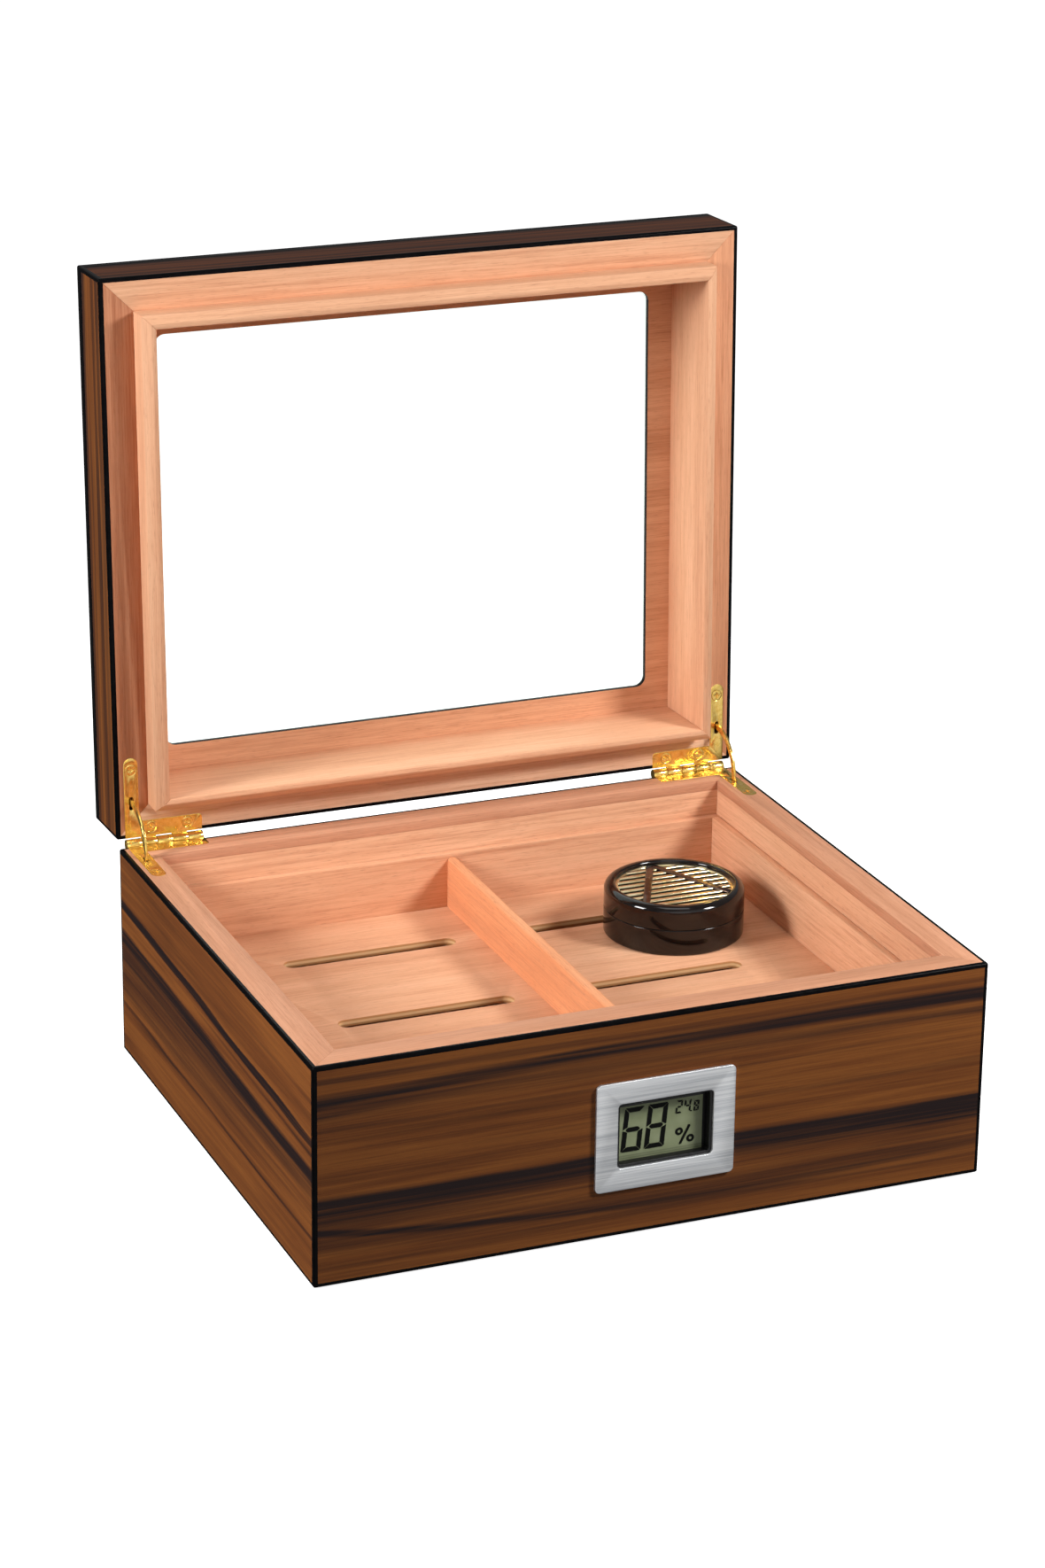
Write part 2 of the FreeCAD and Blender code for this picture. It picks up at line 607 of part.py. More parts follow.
def build_hygro_shell():
    """Plate, housing, back cover and battery door."""
    front = PLATE_Y - PLATE_T
    plate = soft_slab(PLATE_W, PLATE_H, PLATE_R, front, PLATE_Y)
    save("hygro_bezel", plate.cut(soft_slab(VIEW_W, VIEW_H, VIEW_R, front - 1, PLATE_Y + 1)))
    body = soft_slab(BODY_W, BODY_H, 1.0, PLATE_Y, COVER_Y)
    inner_w = BODY_W - 2 * BODY_WALL
    inner_h = BODY_H - 2 * BODY_WALL
    body = body.cut(slab(inner_w, inner_h, LCD_Y, COVER_Y + 1))
    view = soft_slab(VIEW_W - 2 * FRAME_W, VIEW_H - 2 * FRAME_W, 0.8, PLATE_Y - 1, LCD_Y + 1)
    save("hygro_housing", body.cut(view))
    back = COVER_Y + COVER_T
    cover = soft_slab(BODY_W, BODY_H, 1.0, COVER_Y, back)
    gap = 2 * DOOR_GAP
    cover = cover.cut(slab(DOOR_W + gap, DOOR_H + gap, COVER_Y - 1, back + 1, CELL_X, CELL_Z))
    for i in range(5):
        cover = cover.cut(slab(12.0, 1.2, COVER_Y - 1, back + 1, 9.0, -13.0 + 2.6 * i))
    save("hygro_back_cover", cover)
    door = slab(DOOR_W, DOOR_H, COVER_Y, back, CELL_X, CELL_Z)
    coin = slab(6.0, 0.9, back - 0.5, back + 1, CELL_X, CELL_Z)
    save("hygro_door", door.cut(coin))


def build_hygro_inside():
    """Display, board, sensor, cell and contacts."""
    lcd_back = LCD_Y + LCD_T
    save("hygro_lcd", slab(LCD_W, LCD_H, LCD_Y, lcd_back))
    board_back = lcd_back + BOARD_T
    board = slab(BODY_W - 2 * BODY_WALL - 0.4, BODY_H - 2 * BODY_WALL - 0.4, lcd_back, board_back)
    chip = rod(4.0, 1.2, V(PLATE_X + 1, board_back, PLATE_Z + 7), V(0, 1, 0))
    save("hygro_board", board.fuse(chip).removeSplitter())
    save("hygro_sensor", slab(4.0, 3.0, board_back, board_back + 1.4, 9.0, -8.0))
    cell_y = COVER_Y - CELL_T
    cell = rod(CELL_R, CELL_T, V(PLATE_X + CELL_X, cell_y, PLATE_Z + CELL_Z), V(0, 1, 0))
    save("hygro_cell", cell)
    pad = slab(5.0, 5.0, board_back, cell_y, CELL_X, CELL_Z)
    x = CELL_X + CELL_R + 0.15
    clip = slab(0.3, 5.0, board_back, COVER_Y - 0.5, x, CELL_Z)
    save("hygro_contacts", pad, clip)


def main():
    """Write every node."""
    os.makedirs("parts", exist_ok=True)
    build_base()
    build_hinges()
    build_lid()
    build_tray()
    build_humidifier()
    build_hygro_shell()
    build_hygro_inside()


main()
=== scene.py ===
"""Looks of a glass-top desktop humidor with a digital hygrometer in its front wall.

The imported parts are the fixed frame. Boards, brass and plastic are dressed here, and finer pieces
stand in where a part needs rolled edges, turned curves or display segments.
Sizes are in millimetres, with X to the right, Y to the back and Z up, and meshes are in metres.
"""

import json
import logging
import math
from dataclasses import dataclass
from enum import Enum
from typing import Callable

import bmesh
import bpy
from mathutils import Matrix, Vector

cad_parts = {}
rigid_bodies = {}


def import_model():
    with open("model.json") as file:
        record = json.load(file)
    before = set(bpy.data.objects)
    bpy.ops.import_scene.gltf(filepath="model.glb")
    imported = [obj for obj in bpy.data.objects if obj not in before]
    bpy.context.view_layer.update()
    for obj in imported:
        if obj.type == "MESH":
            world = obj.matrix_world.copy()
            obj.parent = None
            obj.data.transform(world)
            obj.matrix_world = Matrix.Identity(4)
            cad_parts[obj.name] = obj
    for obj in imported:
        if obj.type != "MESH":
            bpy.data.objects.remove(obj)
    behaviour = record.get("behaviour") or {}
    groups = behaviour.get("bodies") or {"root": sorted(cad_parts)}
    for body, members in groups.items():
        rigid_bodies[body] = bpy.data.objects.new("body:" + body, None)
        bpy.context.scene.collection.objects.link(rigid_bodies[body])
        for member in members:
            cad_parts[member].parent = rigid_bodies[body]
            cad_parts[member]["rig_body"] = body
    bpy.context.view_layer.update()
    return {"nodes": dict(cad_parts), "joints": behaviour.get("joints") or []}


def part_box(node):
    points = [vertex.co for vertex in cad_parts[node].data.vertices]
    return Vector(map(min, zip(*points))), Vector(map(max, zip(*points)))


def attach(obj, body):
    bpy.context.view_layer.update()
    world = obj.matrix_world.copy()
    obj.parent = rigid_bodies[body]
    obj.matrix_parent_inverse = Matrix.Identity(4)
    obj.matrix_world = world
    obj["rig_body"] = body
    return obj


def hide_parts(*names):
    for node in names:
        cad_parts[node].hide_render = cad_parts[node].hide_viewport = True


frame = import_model()

MM = 0.001
# the shut box, over which a streak's strength varies
BOX_WIDTH = 260.0
BOX_DEPTH = 219.0
# an edge that turns more than this is rounded, in degrees
SHARP_EDGE = 35.0
# facets round a turned piece
TURN_STEPS = 120
log = logging.getLogger("humidor")

Socket = bpy.types.NodeSocket
Node = bpy.types.Node
Tree = bpy.types.NodeTree
Mesh = bpy.types.Object
Finish = bpy.types.Material


class Way(Enum):
    """A direction on the closed box: across it, front to back, or up. A board's grain runs one of them."""

    ACROSS = 0
    DEEP = 1
    UPRIGHT = 2


class Place(Enum):
    """Where a board belongs: the lid's boards stand turned on the hinge."""

    BASE = "base"
    LID = "lid"


# ---- nodes ------------------------------------------------------------------------------------
def linear(code: str) -> tuple[float, float, float, float]:
    """Turns an sRGB hex colour to linear light.

    Args:
        code: six hex digits after a hash.

    Returns:
        Red, green, blue and full opacity.
    """
    parts = [int(code[i:i + 2], 16) / 255 for i in (1, 3, 5)]
    r, g, b = [p / 12.92 if p <= 0.04045 else ((p + 0.055) / 1.055) ** 2.4 for p in parts]
    return r, g, b, 1.0


def add(tree: Tree, kind: str, inputs: dict | None = None, stops: tuple = (), **settings) -> Node:
    """Adds a node with its settings and links.

    Args:
        tree: the node tree.
        kind: node type.
        inputs: input name or number to a node or socket to link, a hex colour, or a value to set.
        stops: positions and hex colours or grey levels of a colour ramp.
        settings: attributes of the node.

    Returns:
        The new node.
    """
    node = tree.nodes.new(kind)
    for name, value in settings.items():
        setattr(node, name, value)
    for key, value in (inputs or {}).items():
        if isinstance(value, Node):
            value = next(s for s in value.outputs if s.enabled)
        if isinstance(value, Socket):
            tree.links.new(value, node.inputs[key])
        else:
            node.inputs[key].default_value = linear(value) if isinstance(value, str) else value
    if stops:
        marks = node.color_ramp.elements
        while len(marks) < len(stops):
            marks.new(1.0)
        for mark, (at, code) in zip(marks, stops):
            mark.position = at
            mark.color = linear(code) if isinstance(code, str) else (code, code, code, 1.0)
    return node


def start(name: str) -> tuple[Finish, Tree]:
    """Starts an empty material.

    Args:
        name: the real material's name.

    Returns:
        The material and its tree.
    """
    made = bpy.data.materials.new(name)
    made.use_nodes = True
    made.node_tree.nodes.clear()
    return made, made.node_tree


def hinge_turn(place: Place) -> tuple[float, Vector]:
    """How a point of the open lid turns back to the closed box.

    Args:
        place: base or lid.

    Returns:
        The angle about X, and the shift that follows it, in millimetres.
    """
    if place is Place.BASE:
        return 0.0, Vector()
    hinge = next(j for j in frame["joints"] if j["name"] == "lid_hinge")
    pivot = Vector(hinge["pos_m"]) / MM
    turn = math.radians(-hinge["range_deg"][0])
    return turn, pivot - Matrix.Rotation(turn, 3, "X") @ pivot


def closed_point(tree: Tree, place: Place) -> Node:
    """The surface point in millimetres on the closed box, so a lid board's pattern turns with the lid.

    Args:
        tree: the node tree.
        place: base or lid.

    Returns:
        A node that gives the point.
    """
    turn, shift = hinge_turn(place)
    coords = add(tree, "ShaderNodeTexCoord").outputs["Object"]
    return add(tree, "ShaderNodeMapping", {
        "Vector": coords, "Scale": (1 / MM,) * 3, "Rotation": (turn, 0.0, 0.0), "Location": tuple(shift)})


def fibre(tree: Tree, point: Node, grain: Way, along: float, across: float, shift: float,
          detail: float = 2.0, rough: float = 0.5) -> Socket:
    """Noise drawn out along the grain.

    Args:
        tree: the node tree.
        point: the point in millimetres.
        grain: the grain's direction.
        along: length of a feature.
        across: width of a feature.
        shift: moves the pattern, so that boards differ.
        detail: finer octaves.
        rough: strength of the octaves.

    Returns:
        A value socket from 0 to 1.
    """
    scale = [1 / across] * 3
    scale[grain.value] = 1 / along
    drawn = add(tree, "ShaderNodeMapping", {
        "Vector": point, "Scale": scale, "Location": (shift, shift * 1.7, shift * 0.6)})
    return add(tree, "ShaderNodeTexNoise", {
        "Vector": drawn, "Scale": 1.0, "Detail": detail, "Roughness": rough}).outputs[0]


# ---- finishes ---------------------------------------------------------------------------------
@dataclass(frozen=True)
class Streak:
    """One dark band of the veneer, whose centre line is at + slope * u + bow * u * u.

    u runs along the grain from the middle, half is the half width of its core, soft the width of its
    feathered side, and strength its depth at the start, the middle and the end. Sizes are in millimetres.
    """

    at: float
    slope: float
    bow: float
    half: float
    soft: float
    strength: tuple[float, float, float]


@dataclass(frozen=True)
class Flitch:
    """One log's cut of walnut veneer: its tones, and the strength of the gloss coat on it."""

    pale: str = "#94592a"
    brown: str = "#794522"
    deep: str = "#56321c"
    black: str = "#261b1b"
    gloss: float = 0.22


@dataclass(frozen=True)
class StreakedVeneer:
    """Sliced walnut veneer with near-black heart streaks, under polished polyester lacquer.

    The eye sees warm brown ribbons, blue-black bands with feathered edges, and a thin clear gloss.
    The streaks' places are measured along the across direction.
    """

    node: str
    place: Place
    grain: Way
    shift: float
    streaks: tuple[Streak, ...]
    across: Way = Way.UPRIGHT
    flitch: Flitch = Flitch()

    def make(self) -> Finish:
        """Builds the material.

        Returns:
            The material.
        """
        made, tree = start(f"walnut_veneer_lacquered_{self.node}")
        point = closed_point(tree, self.place)
        cut = self.flitch
        # ribbons a few millimetres wide and a hand long, then hair lines a third of a millimetre wide
        ribbon = fibre(tree, point, self.grain, 190.0, 5.5, self.shift, 3.0, 0.55)
        hair = fibre(tree, point, self.grain, 45.0, 0.45, self.shift + 3, 2.0, 0.6)
        pores = fibre(tree, point, self.grain, 5.0, 0.16, self.shift + 7, 1.0)
        ground = add(tree, "ShaderNodeValToRGB", {"Fac": ribbon}, stops=(
            (0.3, cut.deep), (0.44, cut.brown), (0.58, cut.pale), (0.72, cut.brown)))
        lines = add(tree, "ShaderNodeValToRGB", {"Fac": hair}, stops=(
            (0.34, cut.deep), (0.5, cut.brown), (0.64, cut.pale)))
        ground = add(tree, "ShaderNodeMix", {0: 0.28, 6: ground, 7: lines}, data_type="RGBA")
        dark = self.heart(tree, point)
        ground = add(tree, "ShaderNodeMix", {0: dark, 6: ground, 7: cut.black}, data_type="RGBA")
        pore = add(tree, "ShaderNodeMapRange", {0: pores, 1: 0.62, 2: 0.76, 3: 0.0, 4: 0.25})
        colour = add(tree, "ShaderNodeMix", {0: pore, 6: ground, 7: cut.black}, data_type="RGBA")
        shader = add(tree, "ShaderNodeBsdfPrincipled", {
            "Base Color": colour, "Roughness": 0.42, "Specular IOR Level": 0.06, "Coat Weight": cut.gloss,
            "Coat Roughness": 0.07, "Coat IOR": 1.33})
        add(tree, "ShaderNodeOutputMaterial", {"Surface": shader})
        return made

    def heart(self, tree: Tree, point: Node) -> Node:
        """The share of dark heartwood: soft bands that fine fibres break into feathered streaks.

        Args:
            tree: the node tree.
            point: the point in millimetres.

        Returns:
            A node that gives the share, from 0 to 1.
        """
        parts = add(tree, "ShaderNodeSeparateXYZ", {0: point}).outputs
        run, height = parts[self.grain.value], parts[self.across.value]
        span = BOX_WIDTH if self.grain is Way.ACROSS else BOX_DEPTH
        # the bands wander 1.6 mm over a hand's length, and break up into streaks about 1.1 mm wide
        wander = fibre(tree, point, self.grain, 75.0, 9.0, self.shift + 11, 1.0)
        feather = fibre(tree, point, self.grain, 120.0, 1.1, self.shift + 13, 3.0, 0.6)
        bent = add(tree, "ShaderNodeMath", {0: wander, 1: 3.2, 2: -1.6}, operation="MULTIPLY_ADD")
        bent = add(tree, "ShaderNodeMath", {0: height, 1: bent}, operation="ADD")
        square = add(tree, "ShaderNodeMath", {0: run, 1: run}, operation="MULTIPLY")
        share = add(tree, "ShaderNodeMath", {0: run, 1: 1 / span, 2: 0.5}, operation="MULTIPLY_ADD")
        clear: Node | float = 1.0
        for band in self.streaks:
            line = add(tree, "ShaderNodeMath", {0: run, 1: band.slope, 2: band.at}, operation="MULTIPLY_ADD")
            line = add(tree, "ShaderNodeMath", {0: square, 1: band.bow, 2: line}, operation="MULTIPLY_ADD")
            off = add(tree, "ShaderNodeMath", {0: bent, 1: line}, operation="SUBTRACT")
            off = add(tree, "ShaderNodeMath", {0: off}, operation="ABSOLUTE")
            edge = band.half + band.soft
            core = add(tree, "ShaderNodeMapRange", {0: off, 1: band.half, 2: edge, 3: 1.0, 4: 0.0},
                       interpolation_type="SMOOTHSTEP")
            levels = tuple(zip((0.0, 0.5, 1.0), band.strength))
            fade = add(tree, "ShaderNodeValToRGB", {"Fac": share}, stops=levels)
            here = add(tree, "ShaderNodeMath", {0: core, 1: fade}, operation="MULTIPLY")
            here = add(tree, "ShaderNodeMath", {0: 1.0, 1: here}, operation="SUBTRACT")
            clear = add(tree, "ShaderNodeMath", {0: here, 1: clear}, operation="MULTIPLY")
        dark = add(tree, "ShaderNodeMath", {0: 1.0, 1: clear}, operation="SUBTRACT")
        broken = add(tree, "ShaderNodeMath", {0: feather, 1: 0.9, 2: dark}, operation="MULTIPLY_ADD")
        return add(tree, "ShaderNodeMapRange", {0: broken, 1: 0.6, 2: 1.42, 3: 0.0, 4: 1.0})


@dataclass(frozen=True)
class Tint:
    """The pale, middle and dark tones of a cedar board."""

    pale: str = "#ebb893"
    tan: str = "#dba27d"
    rose: str = "#bf815f"


@dataclass(frozen=True)
class Cedar:
    """Planed Spanish cedar, left bare.

    The eye sees a salmon tan ground, soft darker ribbons, short open pores and a dry satin surface. The
    shift moves the pattern, figure is the strength of the ribbons, and plies shows a ply board's edges.
    """

    node: str
    place: Place
    grain: Way
    shift: float
    tint: Tint = Tint()
    figure: float = 0.42
    plies: bool = False
    pore: str = "#8d4f36"

    def make(self) -> Finish:
        """Builds the material.

        Returns:
            The material.
        """
        made, tree = start(f"spanish_cedar_planed_{self.node}")
        point = closed_point(tree, self.place)
        pale, tan, rose = self.tint.pale, self.tint.tan, self.tint.rose
        # growth bands about 11 mm wide, ribbons 1.5 mm, fibres a third of a millimetre, pores 0.25 by 4 mm
        bands = fibre(tree, point, self.grain, 260.0, 11.0, self.shift, 2.0)
        ribbon = fibre(tree, point, self.grain, 60.0, 1.5, self.shift + 5, 3.0, 0.65)
        fine = fibre(tree, point, self.grain, 16.0, 0.38, self.shift + 9, 2.0, 0.6)
        pores = fibre(tree, point, self.grain, 4.2, 0.26, self.shift + 17, 1.0)
        patch = fibre(tree, point, self.grain, 60.0, 30.0, self.shift + 21, 1.0)
        ground = add(tree, "ShaderNodeValToRGB", {"Fac": bands},
                     stops=((0.3, rose), (0.45, tan), (0.62, pale)))
        streaks = add(tree, "ShaderNodeValToRGB", {"Fac": ribbon},
                      stops=((0.3, rose), (0.46, tan), (0.6, pale)))
        ground = add(tree, "ShaderNodeMix", {0: self.figure, 6: ground, 7: streaks}, data_type="RGBA")
        fleck = add(tree, "ShaderNodeValToRGB", {"Fac": fine}, stops=((0.3, rose), (0.55, pale)))
        ground = add(tree, "ShaderNodeMix", {0: 0.36, 6: ground, 7: fleck}, data_type="RGBA")
        warm = add(tree, "ShaderNodeMapRange", {0: patch, 1: 0.35, 2: 0.7, 3: 0.0, 4: 0.35})
        ground = add(tree, "ShaderNodeMix", {0: warm, 6: ground, 7: tan}, data_type="RGBA")
        open_pore = add(tree, "ShaderNodeMapRange", {0: pores, 1: 0.62, 2: 0.76, 3: 0.0, 4: 0.34})
        colour = add(tree, "ShaderNodeMix", {0: open_pore, 6: ground, 7: self.pore}, data_type="RGBA")
        if self.plies:
            colour = self.ply_edges(tree, point, colour)
        rough = add(tree, "ShaderNodeMapRange", {0: ribbon, 1: 0.3, 2: 0.7, 3: 0.5, 4: 0.64})
        relief = add(tree, "ShaderNodeMath", {0: open_pore, 1: -0.6, 2: fine}, operation="MULTIPLY_ADD")
        bump = add(tree, "ShaderNodeBump", {"Strength": 0.35, "Distance": 0.05 * MM, "Height": relief})
        shader = add(tree, "ShaderNodeBsdfPrincipled", {
            "Base Color": colour, "Roughness": rough, "Specular IOR Level": 0.12, "Normal": bump})
        add(tree, "ShaderNodeOutputMaterial", {"Surface": shader})
        return made

    def ply_edges(self, tree: Tree, point: Node, face: Node) -> Node:
        """Shows thin plies on cut edges.

        Args:
            tree: the node tree.
            point: the point in millimetres.
            face: the colour of the broad faces.

        Returns:
            The colour with light ply edges.
        """
        normal = add(tree, "ShaderNodeNewGeometry").outputs["Normal"]
        up = add(tree, "ShaderNodeSeparateXYZ", {0: normal}).outputs[2]
        flat = add(tree, "ShaderNodeMath", {0: up}, operation="ABSOLUTE")
        edge = add(tree, "ShaderNodeMapRange", {0: flat, 1: 0.35, 2: 0.5, 3: 1.0, 4: 0.0})
        height = add(tree, "ShaderNodeSeparateXYZ", {0: point}).outputs[2]
        # plies 1 mm thick, light and dark in turn
        layer = add(tree, "ShaderNodeMath", {0: height, 1: math.pi}, operation="MULTIPLY")
        layer = add(tree, "ShaderNodeMath", {0: layer}, operation="SINE")
        layer = add(tree, "ShaderNodeMath", {0: layer, 1: 0.5, 2: 0.5}, operation="MULTIPLY_ADD")
        ply = add(tree, "ShaderNodeValToRGB", {"Fac": layer}, stops=((0.3, "#c48c5c"), (0.6, "#e8bd8a")))
        return add(tree, "ShaderNodeMix", {0: edge, 6: face, 7: ply}, data_type="RGBA")


@dataclass(frozen=True)
class Plain:
    """A moulded, painted or plated surface with one ground colour that a fine noise varies.

    grit is the size of the variation in millimetres, ripple its height as bump, and spread what it adds to
    the roughness.
    """

    name: str
    colour: str
    second: str
    roughness: float
    grit: float = 2.0
    metal: float = 0.0
    specular: float = 0.5
    coat: float = 0.0
    sheen: float = 0.0
    ripple: float = 0.0
    spread: float = 0.0

    def make(self) -> Finish:
        """Builds the material.

        Returns:
            The material.
        """
        made, tree = start(self.name)
        point = closed_point(tree, Place.BASE)
        speck = fibre(tree, point, Way.ACROSS, self.grit, self.grit, 1.0, 3.0)
        tone = add(tree, "ShaderNodeValToRGB", {"Fac": speck},
                   stops=((0.35, self.second), (0.62, self.colour)))
        given = {"Base Color": tone, "Roughness": self.roughness, "Metallic": self.metal,
                 "Coat Weight": self.coat, "Sheen Weight": self.sheen}
        if self.spread:
            given["Roughness"] = add(tree, "ShaderNodeMapRange", {
                0: speck, 1: 0.3, 2: 0.7, 3: self.roughness, 4: self.roughness + self.spread})
        if not self.metal:
            given["Specular IOR Level"] = self.specular
        if self.ripple:
            given["Normal"] = add(tree, "ShaderNodeBump", {
                "Strength": 0.5, "Distance": self.ripple * MM, "Height": speck})
        shader = add(tree, "ShaderNodeBsdfPrincipled", given)
        add(tree, "ShaderNodeOutputMaterial", {"Surface": shader})
        return made


# edging under polished lacquer: near-black lines whose rounds carry only a faint glint
LACQUER = Plain("black_polyester_lacquer", "#0b0a0c", "#060607", 0.2, 3.0, specular=0.04, coat=0.01)
# pressed board: dull brown with a fine fleck
FIBREBOARD = Plain("fibreboard_pressed", "#8d6f4e", "#7a5d3f", 0.8, 0.8, specular=0.2, ripple=0.05)
# pressed wool: flat black with a soft bloom along its edges
FELT = Plain("wool_felt_black", "#161616", "#0b0b0b", 0.95, 0.5, specular=0.1, sheen=0.6, ripple=0.15)
# pressed and polished brass, gilt: deep yellow reflections with slightly soft edges
BRASS = Plain("brass_polished_gilt", "#ffdb80", "#f2c661", 0.15, 1.5, metal=0.9, spread=0.05)
# thin pale gilding: near-white gold glints on the slats
PALE_GILT = Plain("brass_polished_pale_gilt", "#f8ebc4", "#e9d7a2", 0.14, 5.0, metal=0.9, spread=0.06)
# painted reflection: the bars are the grille's gilt brass, toned smoky dark for the dark they mirror, and
# still mirror the slats
GILT_PAINTED_DARK = Plain("brass_gilt_painted_dark_reflection", "#6b5a50", "#54463f", 0.18, 3.0, metal=1.0, spread=0.1)
# moulded in a polished tool: brown-black with sharp white reflections
GLOSS_BLACK = Plain("abs_moulded_gloss_black", "#17110f", "#0d0a0a", 0.09, 6.0, specular=0.4, coat=0.15)
# moulded in a spark-eroded tool: satin black with a fine tooth
SATIN_BLACK = Plain("abs_moulded_black_satin", "#141416", "#0c0c0e", 0.38, 0.7, specular=0.4, ripple=0.01)
# floral foam: matt dark green-grey with open cells
FOAM = Plain("phenolic_foam_open_cell", "#2a2f24", "#101410", 0.95, 0.9, specular=0.1, ripple=0.4)
# solder mask over glass epoxy: glossy deep green
CIRCUIT_BOARD = Plain("glass_epoxy_solder_mask", "#1f6b3a", "#175530", 0.35, 1.5)
# sintered ceramic: matt off-white
CERAMIC = Plain("ceramic_sensor_case", "#dcdbd4", "#cac9c0", 0.6, 0.8)
# drawn steel can, nickel plated: cool bright mirror
CELL_CAN = Plain("nickel_plated_steel_can", "#c9c9cb", "#b5b5b9", 0.18, 3.0, metal=1.0)
# spring strip, nickel plated: slightly duller and warmer
SPRING_STEEL = Plain("spring_steel_nickel", "#cfcfca", "#b8b8b4", 0.25, 3.0, metal=1.0)
# darkened liquid crystal: flat black figures with no shine of their own
DARK_SEGMENTS = Plain("liquid_crystal_dark_segments", "#0a0b09", "#070806", 0.5, 1.0, specular=0.1)


@dataclass(frozen=True)
class BrushedSteel:
    """Stainless sheet brushed from side to side, with a clear satin look.

    The eye sees fine level lines, lighter and darker, and a soft highlight drawn across them.
    """

    light: str = "#f0f1f2"
    dark: str = "#c4c7cb"

    def make(self) -> Finish:
        """Builds the material.

        Returns:
            The material.
        """
        made, tree = start("stainless_steel_brushed")
        point = closed_point(tree, Place.BASE)
        # brush lines 0.3 mm high and up to 34 mm long; real ones are finer and wouldn't show
        lines = fibre(tree, point, Way.ACROSS, 34.0, 0.32, 2.0, 3.0, 0.65)
        broad = fibre(tree, point, Way.ACROSS, 60.0, 1.6, 6.0, 1.0)
        both = add(tree, "ShaderNodeMix", {0: 0.35, 2: lines, 3: broad})
        tone = add(tree, "ShaderNodeValToRGB", {"Fac": both}, stops=((0.36, self.dark), (0.6, self.light)))
        rough = add(tree, "ShaderNodeMapRange", {0: lines, 1: 0.3, 2: 0.7, 3: 0.36, 4: 0.54})
        bump = add(tree, "ShaderNodeBump", {"Strength": 0.4, "Distance": 0.03 * MM, "Height": lines})
        shader = add(tree, "ShaderNodeBsdfPrincipled", {
            "Base Color": tone, "Roughness": rough, "Metallic": 0.85, "Normal": bump})
        add(tree, "ShaderNodeOutputMaterial", {"Surface": shader})
        return made


@dataclass(frozen=True)
class WindowGlass:
    """Clear float glass, polished on both faces, with a faint green tone."""

    tint: str = "#f4fbf7"

    def make(self) -> Finish:
        """Builds the material. Light passes it, so what is behind it is lit.

        Returns:
            The material.
        """
        made, tree = start("float_glass_clear")
        glass = add(tree, "ShaderNodeBsdfPrincipled", {
            "Base Color": self.tint, "Roughness": 0.0, "IOR": 1.5, "Transmission Weight": 1.0})
        clear = add(tree, "ShaderNodeBsdfTransparent", {"Color": self.tint})
        ray = add(tree, "ShaderNodeLightPath")
        both = add(tree, "ShaderNodeMixShader", {0: ray.outputs["Is Shadow Ray"], 1: glass, 2: clear})
        add(tree, "ShaderNodeOutputMaterial", {"Surface": both})
        return made


@dataclass(frozen=True)
class DisplayGlass:
    """Reflective liquid crystal glass with its grey-green polariser.

    The eye sees a flat grey-green field, the dim level lines of the contacts along its lower edge, and a
    printed black border. The contacts start at low and take up the band, and left, right and head are the
    border's inner sides, in millimetres.
    """

    field: str = "#a2aa85"
    shaded: str = "#929b74"
    contact: str = "#5b614d"
    mask: str = "#0a0b09"
    low: float = 27.4
    band: float = 4.0
    left: float = -13.6
    right: float = 18.6
    head: float = 49.2

    def make(self) -> Finish:
        """Builds the material.

        Returns:
            The material.
        """
        made, tree = start("lcd_polariser_grey_green")
        point = closed_point(tree, Place.BASE)
        across, _, height = add(tree, "ShaderNodeSeparateXYZ", {0: point}).outputs
        mottle = fibre(tree, point, Way.ACROSS, 6.0, 6.0, 4.0, 1.0)
        ground = add(tree, "ShaderNodeValToRGB", {"Fac": mottle},
                     stops=((0.3, self.shaded), (0.7, self.field)))
        share = add(tree, "ShaderNodeMapRange", {
            0: height, 1: self.low, 2: self.low + self.band, 3: 0.0, 4: 1.0})
        lines = add(tree, "ShaderNodeValToRGB", {"Fac": share}, stops=(
            (0.0, 0.15), (0.18, 0.7), (0.3, 0.2), (0.42, 0.75), (0.52, 0.25), (0.66, 0.6), (0.74, 0.1),
            (1.0, 0.0)))
        colour = add(tree, "ShaderNodeMix", {0: lines, 6: ground, 7: self.contact}, data_type="RGBA")
        border: Node | float = 0.0
        for place, side, test in ((across, self.left, "LESS_THAN"), (across, self.right, "GREATER_THAN"),
                                  (height, self.head, "GREATER_THAN")):
            past = add(tree, "ShaderNodeMath", {0: place, 1: side}, operation=test)
            border = add(tree, "ShaderNodeMath", {0: border, 1: past}, operation="MAXIMUM")
        colour = add(tree, "ShaderNodeMix", {0: border, 6: colour, 7: self.mask}, data_type="RGBA")
        shader = add(tree, "ShaderNodeBsdfPrincipled", {
            "Base Color": colour, "Roughness": 0.28, "Specular IOR Level": 0.35})
        add(tree, "ShaderNodeOutputMaterial", {"Surface": shader})
        return made


# ---- modelling helpers ------------------------------------------------------------------------
def alone(piece: Mesh) -> None:
    """Selects one object and makes it active.

    Args:
        piece: the object.
    """
    bpy.ops.object.select_all(action="DESELECT")
    piece.select_set(True)
    bpy.context.view_layer.objects.active = piece


def apply_modifier(piece: Mesh, kind: str, **settings) -> None:
    """Adds a modifier and applies it.

    Args:
        piece: the object.
        kind: modifier type.
        settings: the modifier's attributes.
    """
    alone(piece)
    made = piece.modifiers.new(kind.lower(), kind)
    for name, value in settings.items():
        setattr(made, name, value)
    bpy.ops.object.modifier_apply(modifier=made.name)


